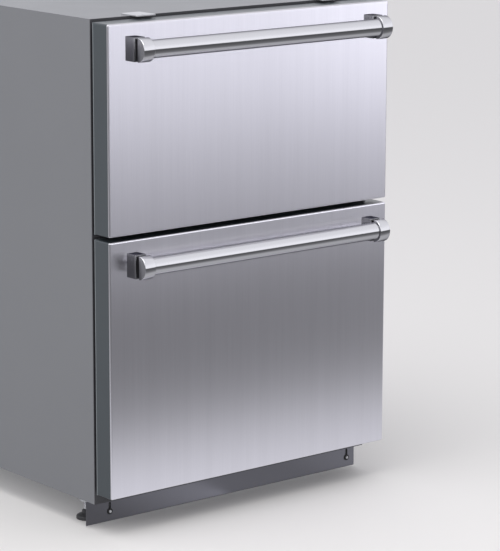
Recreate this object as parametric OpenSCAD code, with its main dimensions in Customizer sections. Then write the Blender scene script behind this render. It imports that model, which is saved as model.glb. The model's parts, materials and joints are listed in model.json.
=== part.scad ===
// Undercounter refrigerator with two full-width drawers.
// +Z is up and -Y is the front, where the drawers open. The origin is on the floor,
// in the middle of the footprint that the cabinet and the handles cover together.

/* [Drawer fronts] */
// Width of both drawer fronts
front_w = 606; // [590:1:620]
// How far the fronts stand out past each side of the cabinet
front_overlap = 3; // [2:0.5:6]
// Height of the upper drawer front
upper_front_h = 350; // [335:1:365]
// Height of the lower drawer front
lower_front_h = 438; // [425:1:460]
// Gap between the two fronts
front_gap = 8; // [5:1:12]
// Height of the lower front's bottom edge above the floor
front_clear = 66; // [60:1:74]
// Thickness of a front, from its face to its back
front_t = 42; // [36:1:50]
// Sheet thickness of the fronts' steel skins
skin_t = 1.2; // [0.8:0.1:2]
// Bend radius of the skins' four front edges
skin_r = 3; // [2:0.5:6]
// Thickness of the moulded pan that closes a front's back
pan_t = 2; // [1.5:0.5:3]
// Thickness of the closed gasket between a front and the cabinet
gasket_t = 10; // [8:0.5:14]
// Width of the gasket's foot
gasket_w = 12; // [10:0.5:13]
// Width of the gasket's magnetic bulb
gasket_bulb_w = 8; // [6:0.5:10]
// Distance from the cabinet's side to the gasket's outer edge
gasket_side_inset = 10; // [8:1:14]
// Distance from a front's edge to the gasket where two fronts meet
gasket_edge_inset = 2; // [1:0.5:4]
// Distance from a front's outer edge to the gasket at the top of the unit
gasket_top_inset = 16; // [12:1:18]
// Distance from a front's outer edge to the gasket at the bottom of the unit
gasket_bottom_inset = 4; // [2:1:7]

/* [Handles] */
// Distance from a front's side edge to the end of its handle
handle_inset = 35; // [20:1:60]
// Distance from a front's top edge down to the handle's centre line
handle_drop = 41; // [32:1:60]
// Width of a handle post and of its end cap
post_w = 22; // [18:1:28]
// Height of a handle post
post_h = 40; // [36:1:48]
// Depth of the post's block, from the front's face
post_d = 24; // [18:1:30]
// Depth of the narrow neck between the post and the end cap
neck_d = 8.5; // [6:0.5:9]
// How far the neck lies inside the post's outline
neck_inset = 2.5; // [1.5:0.5:4]
// Radius of the half-round end cap
cap_r = 20; // [18:0.5:24]
// Chamfer round the edges of the end cap
cap_chamfer = 1; // [0.5:0.25:2]
// Diameter of the handle's tube
tube_d = 30; // [24:1:33]
// Wall of the handle's tube
tube_wall = 1.5; // [1:0.25:3]
// Depth of the tube's seat in the post and cap
tube_seat = 14; // [8:1:16]
// Clearance round the tube in its seat
seat_clear = 0.1; // [0.05:0.05:0.3]

/* [Cabinet] */
// Depth from the drawer fronts' faces to the back of the cabinet
unit_d = 604; // [596:1:640]
// Height of the cabinet's top above the upper front
top_reveal = 4; // [2:1:8]
// Thickness of the outer steel sheets
sheet_t = 1.2; // [0.8:0.1:2]
// Thickness of the foam insulation
foam_t = 36; // [32:1:38]
// Thickness of the moulded liner
liner_t = 2; // [1.5:0.5:3]
// Radius of the liner's corners
liner_r = 12; // [6:1:16]
// Thickness of the face frame that the gaskets close on
frame_t = 1.5; // [1:0.25:2.5]
// Height of the mullion between the drawers
mullion_h = 40; // [38:1:44]
// Depth of the mullion
mullion_d = 40; // [30:1:50]
// Wall of the mullion's box section
mullion_wall = 1.5; // [1:0.25:3]
// Height of the cabinet's base above the floor
base_h = 46; // [40:1:56]
// Thickness of the base pan
base_t = 2; // [1.5:0.25:3]
// Width of the two tabs that screw up into a worktop
bracket_w = 40; // [30:1:60]
// Thickness of the worktop tabs
bracket_t = 2; // [1.5:0.25:3]
// Distance between the screw holes of the worktop tabs
bracket_pitch = 400; // [300:1:460]
// Length of a worktop tab in front of the cabinet
bracket_reach = 22; // [16:1:30]
// Length of a worktop tab on the cabinet's top
bracket_foot = 26; // [20:1:40]
// Radius of the worktop screw holes
bracket_hole_r = 3; // [2:0.25:4]

/* [Machine bay] */
// Height of the machine bay
bay_h = 230; // [222:1:240]
// Depth of the machine bay
bay_d = 190; // [180:1:196]
// Number of ribs pressed in the back panel
back_ribs = 4; // [2:2:6]
// Number of air slots in each side panel
slot_count = 9; // [5:1:11]
// Distance between the air slots
slot_pitch = 14; // [12:1:16]
// Length of an air slot
slot_l = 90; // [60:1:120]
// Height of an air slot
slot_h = 5; // [4:0.5:7]
// Distance from the cabinet's left side to the middle of the compressor
pot_side = 135; // [133:1:148]
// Width of the compressor's foot plate
pot_feet_w = 170; // [150:1:174]
// Depth of the compressor's foot plate
pot_feet_d = 120; // [100:1:130]
// Diameter of the compressor's shell
pot_d = 150; // [130:1:156]
// Height of the compressor's shell
pot_h = 150; // [130:1:156]
// Width of the mains inlet's plate
inlet_plate_w = 60; // [50:1:64]
// Distance between the compressor's foot plate and the mains inlet's plate
inlet_gap = 22; // [16:1:26]
// Distance between the mains inlet's plate and the condenser's fins
condenser_gap = 38; // [32:1:50]
// Distance from the condenser's fins to the cabinet's right side
condenser_side = 60; // [48:1:66]
// Diameter of the condenser fan
condenser_fan_d = 124; // [100:1:126]
// Diameter of the condenser fan's hub
condenser_hub_d = 34; // [28:1:40]
// Depth of the condenser fan's blades
condenser_fan_t = 20; // [14:1:22]
// Number of tube passes in each row of the condenser
condenser_passes = 7; // [4:1:8]
// Number of condenser fins
condenser_fins = 26; // [12:1:34]

/* [Cooling] */
// Depth of the evaporator space behind its cover
evaporator_d = 56; // [50:1:64]
// Number of tube passes in the evaporator
evaporator_passes = 6; // [3:1:6]
// Number of evaporator fins
evaporator_fins = 30; // [12:1:40]
// Width of the finned part of the evaporator
evaporator_w = 380; // [300:1:420]
// Diameter of the evaporator fan
evaporator_fan_d = 78; // [60:1:80]
// Diameter of the evaporator fan's hub
evaporator_hub_d = 22; // [16:1:28]
// Depth of the evaporator fan's blades
evaporator_fan_t = 14; // [10:1:16]
// Height of the evaporator above the liner's step
evaporator_rise = 128; // [100:1:140]
// Outer diameter of the refrigerant tubes
pipe_d = 8; // [6:0.5:9]

/* [Drawer boxes] */
// Clearance between the upper drawer box and the control panel
upper_box_gap = 19.8; // [10:0.1:60]
// Clearance between the lower drawer box and the mullion
lower_box_gap = 40; // [20:1:90]
// Wall of a drawer box
box_wall = 1.5; // [1:0.25:3]
// Corner radius of a drawer box, seen from above
box_r = 14; // [8:1:24]
// Width of the rolled rim of a drawer box
rim_w = 4; // [2:0.5:5]
// Height of the rolled rim of a drawer box
rim_h = 6; // [4:1:10]
// Clearance under a drawer box
box_lift = 12; // [8:1:16]
// Number of ribs pressed in a drawer box's floor
rib_count = 7; // [3:1:9]

/* [Slides] */
// Clearance behind the upper drawer and its slides
upper_back_gap = 31.8; // [28:0.1:60]
// Clearance behind the lower drawer and its slides
lower_back_gap = 22.8; // [14:0.1:60]
// How far the upper drawer's travel falls short of its slides' length
upper_travel_loss = 25; // [25:1:120]
// How far the lower drawer's travel falls short of its slides' length
lower_travel_loss = 20; // [20:1:100]
// Height of the slides' middle above the bottom of the drawer box
slide_rise = 90; // [60:1:110]
// Thickness of a slide, from the liner to the drawer box
slide_t = 13; // [13:0.1:14]
// Height of a slide
slide_h = 45; // [45:0.5:50]
// Thickness of the webs of the slide members
web_t = 1.4; // [1.2:0.1:1.5]
// Thickness of the lips of the outer and inner slide members
lip_t = 1.6; // [1.4:0.1:2]
// Thickness of the lips of the middle slide member
middle_lip_t = 2.2; // [2:0.1:2.6]
// Radius of the slides' balls
ball_r = 2.1; // [1.8:0.1:2.2]
// Depth of the grooves that the balls run in
groove = 0.5; // [0.3:0.1:0.7]
// Clearance between a ball and its groove
ball_clear = 0.05; // [0.03:0.01:0.08]
// Number of balls in each row
ball_count = 7; // [4:1:9]

/* [Toe kick and legs] */
// Distance from the fronts' faces back to the toe kick
kick_recess = 76; // [66:1:90]
// How far the toe kick stands out past each side of the cabinet
kick_overhang = 1; // [0:0.5:2.5]
// Thickness of the toe kick
kick_t = 1.5; // [1:0.25:2.5]
// Height of the toe kick's bottom edge above the floor
kick_clear = 3; // [2:0.5:6]
// Height of the toe kick's screws above the floor
kick_screw_z = 20; // [17:0.5:24]
// Distance of the left screw from the toe kick's left end
kick_screw_left = 49; // [14:1:100]
// Distance of the right screw from the toe kick's right end
kick_screw_right = 18; // [14:1:100]
// Width of the toe kick's upright slots
kick_slot_w = 5; // [4.6:0.1:6]
// How far the toe kick can be let down on its screws
kick_travel = 14; // [8:0.5:14]
// Diameter of the washer heads of the toe kick's screws
kick_washer_d = 11; // [9:0.5:14]
// Diameter of the threaded stems of the legs
leg_d = 10; // [8:0.5:12]
// Diameter of the legs' feet
foot_d = 36; // [30:1:46]
// Height of the legs' feet
foot_h = 9; // [6:0.5:12]
// How far a leg screws out
leg_travel = 20; // [10:1:20]
// Distance from the cabinet's side to the middle of a leg
leg_side = 32; // [24:1:34]
// Distance from the toe kick, or from the back, to the middle of a leg
leg_inset = 45; // [32:1:60]
// Running clearance of turning and sliding pins
pin_clear = 0.05; // [0.02:0.01:0.09]

/* [Controls] */
// Width of the control panel
panel_w = 260; // [200:1:300]
// Height of the control panel
panel_h = 22; // [18:1:22]
// Depth of the control panel
panel_d = 48; // [40:1:60]
// Diameter of the buttons
button_d = 12; // [10:0.5:13]
// Distance between the buttons
button_pitch = 34; // [24:1:40]
// How far a button stands out of the panel
button_proud = 3; // [2.2:0.1:4]
// Travel of a button
button_travel = 1.5; // [1:0.1:2]

/* [Hidden] */
$fn = 64;

eps = 0.5;             // how far a cutter runs past the face that it cuts
seat_gap = 0.3;        // gap at rest between a moving piece and its seat

// Depth, from front to back
cap_drop = 0.5;        // how far the end cap's middle lies inside the neck
handle_reach = post_d + neck_d + cap_r - cap_drop;
plug_t = 1;            // how far the foam-filling plugs stand out of the back
face_y = handle_reach - (unit_d + handle_reach + plug_t) / 2;
back_y = face_y + unit_d;
pan_y = face_y + front_t;
frame_y = pan_y + gasket_t;
shell_y = frame_y + frame_t;
kick_y = face_y + kick_recess;
tube_y = face_y - handle_reach + cap_r;

// Heights
lower_z0 = front_clear;
lower_z1 = lower_z0 + lower_front_h;
upper_z0 = lower_z1 + front_gap;
upper_z1 = upper_z0 + upper_front_h;
cabinet_z1 = upper_z1 + top_reveal;
mullion_z = (lower_z1 + upper_z0) / 2;
base_z = base_h + base_t;

// The insulated space
cabinet_w = front_w - 2 * front_overlap;
half_w = cabinet_w / 2;
wall_t = sheet_t + foam_t + liner_t;
inner_half = half_w - wall_t;
floor_z = base_z + foam_t + liner_t;
ceiling_z = cabinet_z1 - wall_t;
inner_back = back_y - wall_t;
bay_y = back_y - bay_d;
bay_z = base_z + bay_h;
hump_y = bay_y - wall_t;
hump_z = bay_z + wall_t;
cover_y = inner_back - evaporator_d;

// Machine bay, from left to right
pot_x = half_w - pot_side;
inlet_x = pot_feet_w / 2 - pot_x + inlet_gap + inlet_plate_w / 2;
condenser_left = inlet_x + inlet_plate_w / 2 + condenser_gap;
condenser_right = half_w - condenser_side;
condenser_x = (condenser_left + condenser_right) / 2;
condenser_w = condenser_right - condenser_left;

// Drawers
box_half = inner_half - slide_t;
upper_box_z = mullion_z + mullion_h / 2 + box_lift;
upper_box_h = ceiling_z - panel_h - upper_box_gap - upper_box_z;
lower_box_z = floor_z + box_lift;
lower_box_h = mullion_z - mullion_h / 2 - lower_box_gap - lower_box_z;
upper_slide_l = cover_y - frame_y - upper_back_gap;
lower_slide_l = hump_y - frame_y - lower_back_gap;
upper_travel = upper_slide_l - upper_travel_loss;
lower_travel = lower_slide_l - lower_travel_loss;
slide_y = frame_y + pan_t;
box_edge = 1;          // how far the drawer boxes stop short of the slides' ends

// Slide sections: u runs from the liner to the drawer box, v up from the slide's middle
v_outer = slide_h / 2;
v_ball1 = v_outer - lip_t + groove - ball_r - ball_clear;
v_middle = v_ball1 - ball_r - ball_clear + groove;
v_ball2 = v_middle - middle_lip_t + groove - ball_r - ball_clear;
v_inner = v_ball2 - ball_r - ball_clear + groove;
cage_t = 0.6;
cage_gap = 0.4;
u_cage1 = web_t + cage_gap;
u_middle = u_cage1 + cage_t + cage_gap;
u_cage2 = u_middle + web_t + cage_gap;
u_inner = u_cage2 + cage_t + cage_gap;
u_ball1 = u_middle + ball_r + 0.4;
u_ball2 = u_inner + ball_r + 0.4;
screw_hole_r = 2.3;

// Colours
steel = [0.78, 0.78, 0.80];
polished = [0.88, 0.88, 0.90];
dark_steel = [0.36, 0.37, 0.39];
grey_paint = [0.55, 0.56, 0.58];
galvanised = [0.66, 0.68, 0.69];
white_plastic = [0.93, 0.93, 0.92];
black_plastic = [0.08, 0.08, 0.09];
rubber_grey = [0.25, 0.25, 0.26];
foam_yellow = [0.86, 0.78, 0.52];
copper = [0.78, 0.46, 0.30];
fin_metal = [0.75, 0.77, 0.80];

// ---- Helpers ----

// A block between two opposite corners
module block(lo, hi) translate(lo) cube(hi - lo);

// A rectangle with rounded corners, centred
module round_rect(w, d, r) {
    square([w - 2 * r, d], center = true);
    square([w, d - 2 * r], center = true);
    for (x = [-1, 1], y = [-1, 1]) translate([x * (w / 2 - r), y * (d / 2 - r)]) circle(r);
}

// A plan outline with its two front corners rounded: x from the middle, y back from the face
module front_plan(w, d, r) {
    translate([-w / 2, r]) square([w, d - r]);
    translate([r - w / 2, 0]) square([w - 2 * r, r]);
    for (s = [-1, 1]) translate([s * (w / 2 - r), r]) circle(r);
}

// A block behind a drawer front's face, bent over along all four front edges
module front_block(w, z0, z1, d, r) {
    intersection() {
        translate([0, 0, z0]) linear_extrude(z1 - z0) front_plan(w, d, r);
        translate([0, 0, (z0 + z1) / 2]) rotate([0, 90, 0]) linear_extrude(w, center = true)
            front_plan(z1 - z0, d, r);
    }
}

// A profile in (y, z), carried across the width and centred on x = 0
module across(width) rotate([90, 0, 90]) linear_extrude(width, center = true) children();

// A rectangular ring in (x, z) between two corner pairs, standing from y0 to y1
module ring(lo, hi, band, y0, y1) {
    difference() {
        block([lo[0], y0, lo[1]], [hi[0], y1, hi[1]]);
        block([lo[0] + band, y0 - eps, lo[1] + band], [hi[0] - band, y1 + eps, hi[1] - band]);
    }
}

function unit(v) = v / norm(v);
function span(points, i) = points[i + 1] - points[i];
function turn(points, i) = acos(min(1, unit(span(points, i - 1)) * unit(span(points, i))));

// Bend radius at a point: 1.6 diameters, or less between short legs
function bend_r(points, i, d) = max(0.55 * d, min(1.6 * d,
    0.45 * min(norm(span(points, i - 1)), norm(span(points, i))) / tan(turn(points, i) / 2)));

// How much of a leg its bend takes up, nothing at the tube's two ends
function bend_leg(points, i, d) = i == 0 || i == len(points) - 1 ? 0
    : bend_r(points, i, d) * tan(turn(points, i) / 2);

// Puts the children's origin and axes in a given place
module place(at, x, y, z) {
    multmatrix([[x[0], y[0], z[0], at[0]], [x[1], y[1], z[1], at[1]], [x[2], y[2], z[2], at[2]], [0, 0, 0, 1]])
        children();
}

// A tube or rod along a list of points, with a round bend at each inner point.
// Each bend is a little swollen, and the straight lengths run a touch into it.
module pipe(points, d) {
    bend_d = 1.03 * d;
    into = 0.2;
    last = len(points) - 2;
    for (i = [0 : last]) {
        along = unit(span(points, i));
        near = bend_leg(points, i, d) - (i > 0 ? into : 0);
        far = bend_leg(points, i + 1, d) - (i < last ? into : 0);
        translate(points[i] + along * near) rotate([0, acos(along[2]), atan2(along[1], along[0])])
            cylinder(h = norm(span(points, i)) - near - far, d = d);
    }
    for (i = [1 : 1 : last]) if (turn(points, i) > 0.1) {
        before = unit(span(points, i - 1));
        after = unit(span(points, i));
        r = bend_r(points, i, d);
        axis = unit(cross(before, after));
        out = cross(before, axis);
        place(points[i] - before * bend_leg(points, i, d) - out * r, out, before, axis)
            rotate_extrude(angle = turn(points, i)) translate([r, 0]) circle(d = bend_d);
    }
}

// A flat coil of straight passes along x joined by return bends, climbing in z
module serpentine(passes, width, pitch, d) {
    for (i = [0 : passes - 1]) translate([-width / 2, 0, i * pitch]) rotate([0, 90, 0])
        cylinder(h = width, d = d);
    for (i = [0 : passes - 2]) {
        side = i % 2 == 0 ? 1 : -1;
        translate([side * width / 2, 0, (i + 0.5) * pitch])
            rotate([90, 0, 0]) rotate([0, 0, side > 0 ? -90 : 90])
                rotate_extrude(angle = 180) translate([pitch / 2, 0]) circle(d = d);
    }
}

// An axial fan about the y axis: its hub, with a bore for the shaft, and pitched, hollowed blades
module fan(d, hub_d, depth, blades, shaft_d) {
    bore_d = shaft_d + 2 * pin_clear;
    hollow_r = d * 0.42;
    arc = 2 * asin(0.17 / 0.42);
    rotate([90, 0, 0]) difference() {
        union() {
            cylinder(h = depth, d = hub_d, center = true);
            intersection() {
                cylinder(h = depth, d = d, center = true);
                for (i = [0 : blades - 1]) rotate([0, 0, i * 360 / blades])
                    rotate([34, 0, 0]) translate([d / 2, 0, -hollow_r]) rotate([0, -90, 0])
                        rotate([0, 0, -arc / 2]) rotate_extrude(angle = arc)
                            translate([hollow_r - 0.8, 0]) square([1.6, (d - hub_d) / 2 + 2]);
            }
        }
        cylinder(h = depth + 2 * eps, d = bore_d, center = true);
    }
}

// ---- Casing ----

module side_panel(s) {
    slots_z = base_z + 40;
    color(grey_paint) difference() {
        block([s > 0 ? half_w - sheet_t : -half_w, shell_y, base_h],
              [s > 0 ? half_w : sheet_t - half_w, back_y, cabinet_z1]);
        for (i = [0 : slot_count - 1])
            translate([s * (half_w - sheet_t / 2), back_y - bay_d / 2, slots_z + i * slot_pitch])
                rotate([0, 90, 0]) linear_extrude(sheet_t + 2 * eps, center = true)
                    round_rect(slot_h, slot_l, slot_h / 2 - 0.01);
    }
}

module side_panel_left() side_panel(-1);
module side_panel_right() side_panel(1);

module top_panel() {
    color(grey_paint)
        block([sheet_t - half_w, shell_y, cabinet_z1 - sheet_t], [half_w - sheet_t, back_y, cabinet_z1]);
}

// The back sheet, bent forward over the machine bay and down to the base pan
module rear_panel() {
    plug_d = 32;
    rib_w = 14;
    rib_l = cabinet_z1 - bay_z - 120;
    rib_pitch = cabinet_w / back_ribs;
    profile = [
        [back_y - sheet_t, cabinet_z1 - sheet_t], [back_y, cabinet_z1 - sheet_t],
        [back_y, bay_z], [bay_y, bay_z], [bay_y, base_z],
        [bay_y - sheet_t, base_z], [bay_y - sheet_t, bay_z + sheet_t],
        [back_y - sheet_t, bay_z + sheet_t]
    ];
    color(galvanised) difference() {
        union() {
            across(cabinet_w - 2 * sheet_t) polygon(profile);
            // Plugs of the two foam-filling holes
            for (s = [-1, 1]) translate([s * rib_pitch, back_y + plug_t, (bay_z + cabinet_z1) / 2])
                rotate([90, 0, 0]) cylinder(h = plug_t + sheet_t, d = plug_d);
            // Pressed stiffening ribs
            for (i = [0 : back_ribs - 1])
                translate([(i - (back_ribs - 1) / 2) * rib_pitch, back_y + plug_t, (bay_z + cabinet_z1) / 2])
                    rotate([90, 0, 0]) linear_extrude(plug_t + sheet_t / 2) round_rect(rib_w, rib_l, rib_w / 2 - 0.1);
        }
        // Ways through the bay's roof for the drain and the suction line
        translate([drain_x, drain_y, bay_z - eps]) cylinder(h = sheet_t + 2 * eps, d = drain_d);
        translate([suction_x, suction_y, bay_z - eps]) cylinder(h = sheet_t + 2 * eps, d = sleeve_d);
    }
}

drain_d = 18;
drain_x = -pot_x;
drain_y = inner_back - drain_d;
suction_x = inlet_x - 7;
suction_y = inner_back - pipe_d;
sleeve_d = pipe_d + 8;

leg_x = half_w - leg_side;
leg_y_front = kick_y + leg_inset;
leg_y_rear = back_y - leg_inset;
boss_d = leg_d + 12;
boss_h = 14;
stem_top = base_h + leg_travel + 4;

grommet_d = 22;
grommet_h = 14;
stud_d = 8;
foot_edge = 14;        // from the edge of the compressor's foot plate to its studs
pot_y = back_y - bay_d / 2;
function pot_feet() = [for (x = [-1, 1], y = [-1, 1])
    [-pot_x + x * (pot_feet_w / 2 - foot_edge), pot_y + y * (pot_feet_d / 2 - foot_edge)]];

flange_y = kick_y + kick_t + seat_gap;
kick_half = half_w + kick_overhang;
kick_screws_x = [kick_screw_left - kick_half, kick_half - kick_screw_right];
kick_shank_d = 4.2;

// Floor of the cabinet, with the flange that holds the toe kick and the legs' threaded bosses
module base_pan() {
    color(galvanised) difference() {
        union() {
            block([sheet_t - half_w, shell_y, base_h], [half_w - sheet_t, back_y, base_z]);
            block([sheet_t - half_w, flange_y, kick_clear + 5], [half_w - sheet_t, flange_y + base_t, base_h]);
            for (s = [-1, 1], y = [leg_y_front, leg_y_rear])
                translate([s * leg_x, y, base_h - boss_h]) cylinder(h = boss_h, d = boss_d);
            for (p = pot_feet()) translate([p[0], p[1], base_z]) cylinder(h = grommet_h + 3, d = stud_d);
        }
        for (s = [-1, 1], y = [leg_y_front, leg_y_rear])
            translate([s * leg_x, y, base_h - boss_h - eps])
                cylinder(h = boss_h + base_t + 2 * eps, d = leg_d + 2 * pin_clear);
        for (x = kick_screws_x)
            translate([x, flange_y - eps, kick_screw_z]) rotate([-90, 0, 0])
                cylinder(h = base_t + 2 * eps, d = kick_shank_d + 0.2);
    }
}

// Points on an arc about a centre, between two angles
function arc_points(c, r, a0, a1) = [for (i = [0 : 8]) let (a = a0 + (a1 - a0) * i / 8) c + r * [cos(a), sin(a)]];

// Side outline of the liner's inside, grown by t: rounded under and over the step and at the top
function cavity(t) = concat(
    [[shell_y - (t > 0 ? 0 : eps), floor_z - t]],
    arc_points([hump_y - liner_r, floor_z + liner_r], liner_r + t, -90, 0),
    arc_points([hump_y + liner_r, hump_z - liner_r], liner_r - t, 180, 90),
    [[inner_back + t, hump_z - t]],
    arc_points([inner_back - liner_r, ceiling_z - liner_r], liner_r + t, 0, 90),
    [[shell_y - (t > 0 ? 0 : eps), ceiling_z + t]]
);

module foam_insulation() {
    color(foam_yellow) difference() {
        block([sheet_t - half_w, shell_y, base_z],
              [half_w - sheet_t, back_y - sheet_t, cabinet_z1 - sheet_t]);
        across(2 * (inner_half + liner_t)) polygon([
            for (p = cavity(liner_t)) [p[0] == shell_y ? p[0] - eps : p[0], p[1]]]);
        block([-half_w, bay_y - sheet_t, base_z - eps], [half_w, back_y, bay_z + sheet_t]);
        for (s = [-1, 1]) translate([s * leg_x, leg_y_front, base_z - eps])
            cylinder(h = stem_top - base_z + leg_d, d = leg_d + 4);
        translate([drain_x, drain_y, bay_z]) cylinder(h = wall_t, d = drain_d);
        translate([suction_x, suction_y, bay_z]) cylinder(h = wall_t, d = sleeve_d);
    }
}

// Moulded tub with a step over the machine bay and a drain spout through it
module liner() {
    color(white_plastic) difference() {
        union() {
            across(2 * (inner_half + liner_t)) polygon(cavity(liner_t));
            translate([drain_x, drain_y, bay_z - 12]) cylinder(h = wall_t + 12 - liner_t / 2, d = drain_d);
        }
        across(2 * inner_half) polygon(cavity(0));
        translate([drain_x, drain_y, bay_z - 12 - eps]) cylinder(h = wall_t + 20, d = drain_d - 4);
        translate([suction_x, suction_y, hump_z - liner_t - eps])
            cylinder(h = liner_t + 2 * eps, d = sleeve_d);
    }
}

module face_frame() {
    mullion_z0 = mullion_z - mullion_h / 2;
    mullion_z1 = mullion_z + mullion_h / 2;
    color(dark_steel) difference() {
        block([-half_w, frame_y, base_h], [half_w, shell_y, cabinet_z1]);
        block([-inner_half, frame_y - eps, floor_z], [inner_half, shell_y + eps, mullion_z0]);
        block([-inner_half, frame_y - eps, mullion_z1], [inner_half, shell_y + eps, ceiling_z]);
    }
}

module centre_mullion() {
    lo = mullion_z - mullion_h / 2;
    hi = mullion_z + mullion_h / 2;
    color(galvanised) difference() {
        block([-inner_half, shell_y, lo], [inner_half, shell_y + mullion_d, hi]);
        block([-inner_half - eps, shell_y + mullion_wall, lo + mullion_wall],
              [inner_half + eps, shell_y + mullion_d - mullion_wall, hi - mullion_wall]);
    }
}

bracket_hole_y = shell_y - bracket_reach / 2;

module worktop_brackets() {
    color(galvanised) for (s = [-1, 1]) difference() {
        translate([s * bracket_pitch / 2, shell_y + (bracket_foot - bracket_reach) / 2, cabinet_z1])
            linear_extrude(bracket_t) round_rect(bracket_w, bracket_foot + bracket_reach, 5);
        translate([s * bracket_pitch / 2, bracket_hole_y, cabinet_z1 - eps])
            cylinder(h = bracket_t + 2 * eps, r = bracket_hole_r);
    }
}

// ---- Toe kick and legs ----

kick_top_gap = 1;      // between the toe kick and the cabinet's base

module kick_plate() {
    color(dark_steel) difference() {
        block([-kick_half, kick_y, kick_clear], [kick_half, kick_y + kick_t, base_h - kick_top_gap]);
        for (x = kick_screws_x)
            translate([x, kick_y + kick_t / 2, kick_screw_z + kick_travel / 2]) rotate([90, 0, 0])
                linear_extrude(kick_t + 2 * eps, center = true)
                    round_rect(kick_slot_w, kick_travel + kick_slot_w, kick_slot_w / 2 - 0.01);
    }
}

// Washer-headed screws that clamp the toe kick to the base pan's flange
module kick_screws() {
    head_d = 5;
    washer_t = 1.2;
    color(galvanised) for (x = kick_screws_x)
        translate([x, kick_y, kick_screw_z]) rotate([90, 0, 0]) {
            translate([0, 0, seat_gap / 3]) cylinder(h = washer_t, d = kick_washer_d);
            translate([0, 0, washer_t]) cylinder(h = 1.8, d = head_d);
            translate([0, 0, -(kick_t + seat_gap + base_t + 4)])
                cylinder(h = kick_t + seat_gap + base_t + 4.5, d = kick_shank_d);
        }
}

// A levelling leg: a ribbed foot, a hexagon for the spanner and a threaded stem
module leg(s, y) {
    hex_h = 7;
    color(rubber_grey) translate([s * leg_x, y, 0]) {
        rotate_extrude() polygon([
            [0, 0], [foot_d / 2 - 1, 0], [foot_d / 2, 1], [foot_d / 2, foot_h - 3],
            [foot_d / 2 - 4, foot_h], [0, foot_h]]);
        translate([0, 0, foot_h]) cylinder(h = hex_h, d = leg_d + 7, $fn = 6);
        cylinder(h = stem_top, d = leg_d);
    }
}

module leg_front_left() leg(-1, leg_y_front);
module leg_front_right() leg(1, leg_y_front);
module leg_rear_left() leg(-1, leg_y_rear);
module leg_rear_right() leg(1, leg_y_rear);

// ---- Machine bay ----

pot_z = base_z + grommet_h + 3;    // top of the compressor's foot plate
foot_plate_t = 3;
port_y = 40;           // the lines' stubs, behind the shell's middle
port_reach = 4;        // how far they stand out past the shell
discharge_rise = 24;
suction_rise = 62;

module compressor() {
    dome = min(34, pot_d / 2 - 6);
    color(black_plastic) {
        difference() {
            translate([-pot_x, pot_y, pot_z - foot_plate_t]) linear_extrude(foot_plate_t)
                round_rect(pot_feet_w, pot_feet_d, 12);
            for (p = pot_feet()) translate([p[0], p[1], pot_z - foot_plate_t - eps])
                cylinder(h = foot_plate_t + 2 * eps, d = stud_d + 2);
        }
        translate([-pot_x, pot_y, pot_z]) {
            rotate_extrude() {
                square([pot_d / 2 - dome, pot_h]);
                translate([0, dome]) square([pot_d / 2, pot_h - 2 * dome]);
                intersection() {
                    for (z = [dome, pot_h - dome]) translate([pot_d / 2 - dome, z]) circle(dome);
                    square([pot_d, pot_h]);
                }
            }
            // Welded seam round the shell
            translate([0, 0, pot_h * 0.55]) cylinder(h = 5, d = pot_d + 6);
            // Terminal cover
            translate([pot_d / 2 - 10, -26, pot_h * 0.2]) cube([26, 52, 44]);
            // Stubs for the discharge and suction lines
            for (z = [discharge_rise, suction_rise]) translate([pot_d / 2 - 30, port_y, z])
                rotate([0, 90, 0]) cylinder(h = 30 + port_reach, d = pipe_d + 1);
        }
    }
}

module compressor_grommets() {
    color(rubber_grey) for (p = pot_feet()) translate([p[0], p[1], base_z]) rotate_extrude()
        polygon([
            [stud_d / 2 + 0.1, 0], [grommet_d / 2, 0], [grommet_d / 2, grommet_h * 0.35],
            [grommet_d / 2 - 3, grommet_h * 0.5], [grommet_d / 2, grommet_h * 0.65],
            [grommet_d / 2, grommet_h], [stud_d / 2 + 0.1, grommet_h]]);
}

coil_overhang = 6;     // how far a coil's passes run past its fins
condenser_pitch = 25;
condenser_row_gap = 22;
condenser_d = condenser_row_gap + 22;
condenser_y = back_y - 16 - condenser_d / 2;
condenser_z = base_z + 26;
fin_t = 0.6;

// Finned block: two rows of tube passes through upright fins, on two end plates
module condenser_coil() {
    depth = condenser_d;
    height = condenser_passes * condenser_pitch;
    end_t = 1.5;
    rows = [-condenser_row_gap / 2, condenser_row_gap / 2];
    coil_w = condenser_w + 2 * coil_overhang;
    crossover = condenser_passes % 2 == 1 ? 1 : -1;
    module plate(t) rotate([90, 0, 90]) linear_extrude(t, center = true) difference() {
        translate([-depth / 2, -condenser_pitch / 2]) square([depth, height]);
        for (y = rows, i = [0 : condenser_passes - 1])
            translate([y, i * condenser_pitch]) circle(d = pipe_d + 0.3);
    }
    translate([condenser_x, condenser_y, condenser_z]) {
        color(copper) for (y = rows) translate([0, y, 0])
            serpentine(condenser_passes, coil_w, condenser_pitch, pipe_d);
        // Crossover between the two rows, at the end of the top pass
        color(copper) translate([crossover * coil_w / 2, 0, (condenser_passes - 1) * condenser_pitch])
            rotate([0, 0, crossover > 0 ? -90 : 90])
                rotate_extrude(angle = 180) translate([condenser_row_gap / 2, 0]) circle(d = pipe_d);
        color(fin_metal) for (i = [0 : condenser_fins - 1])
            translate([((i + 0.5) / condenser_fins - 0.5) * condenser_w, 0, 0]) plate(fin_t);
        color(galvanised) for (s = [-1, 1]) translate([s * (condenser_w + coil_overhang) / 2, 0, 0]) {
            plate(end_t);
            translate([-end_t / 2, -depth / 2, -(condenser_z - base_z)])
                cube([end_t, depth, condenser_z - base_z - condenser_pitch / 2]);
        }
    }
}

condenser_fan_y = bay_y + 62;
condenser_fan_z = base_z + bay_h / 2;
shroud_y = condenser_fan_y + 16;
shaft_d = 6;
motor_d = 52;

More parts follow.
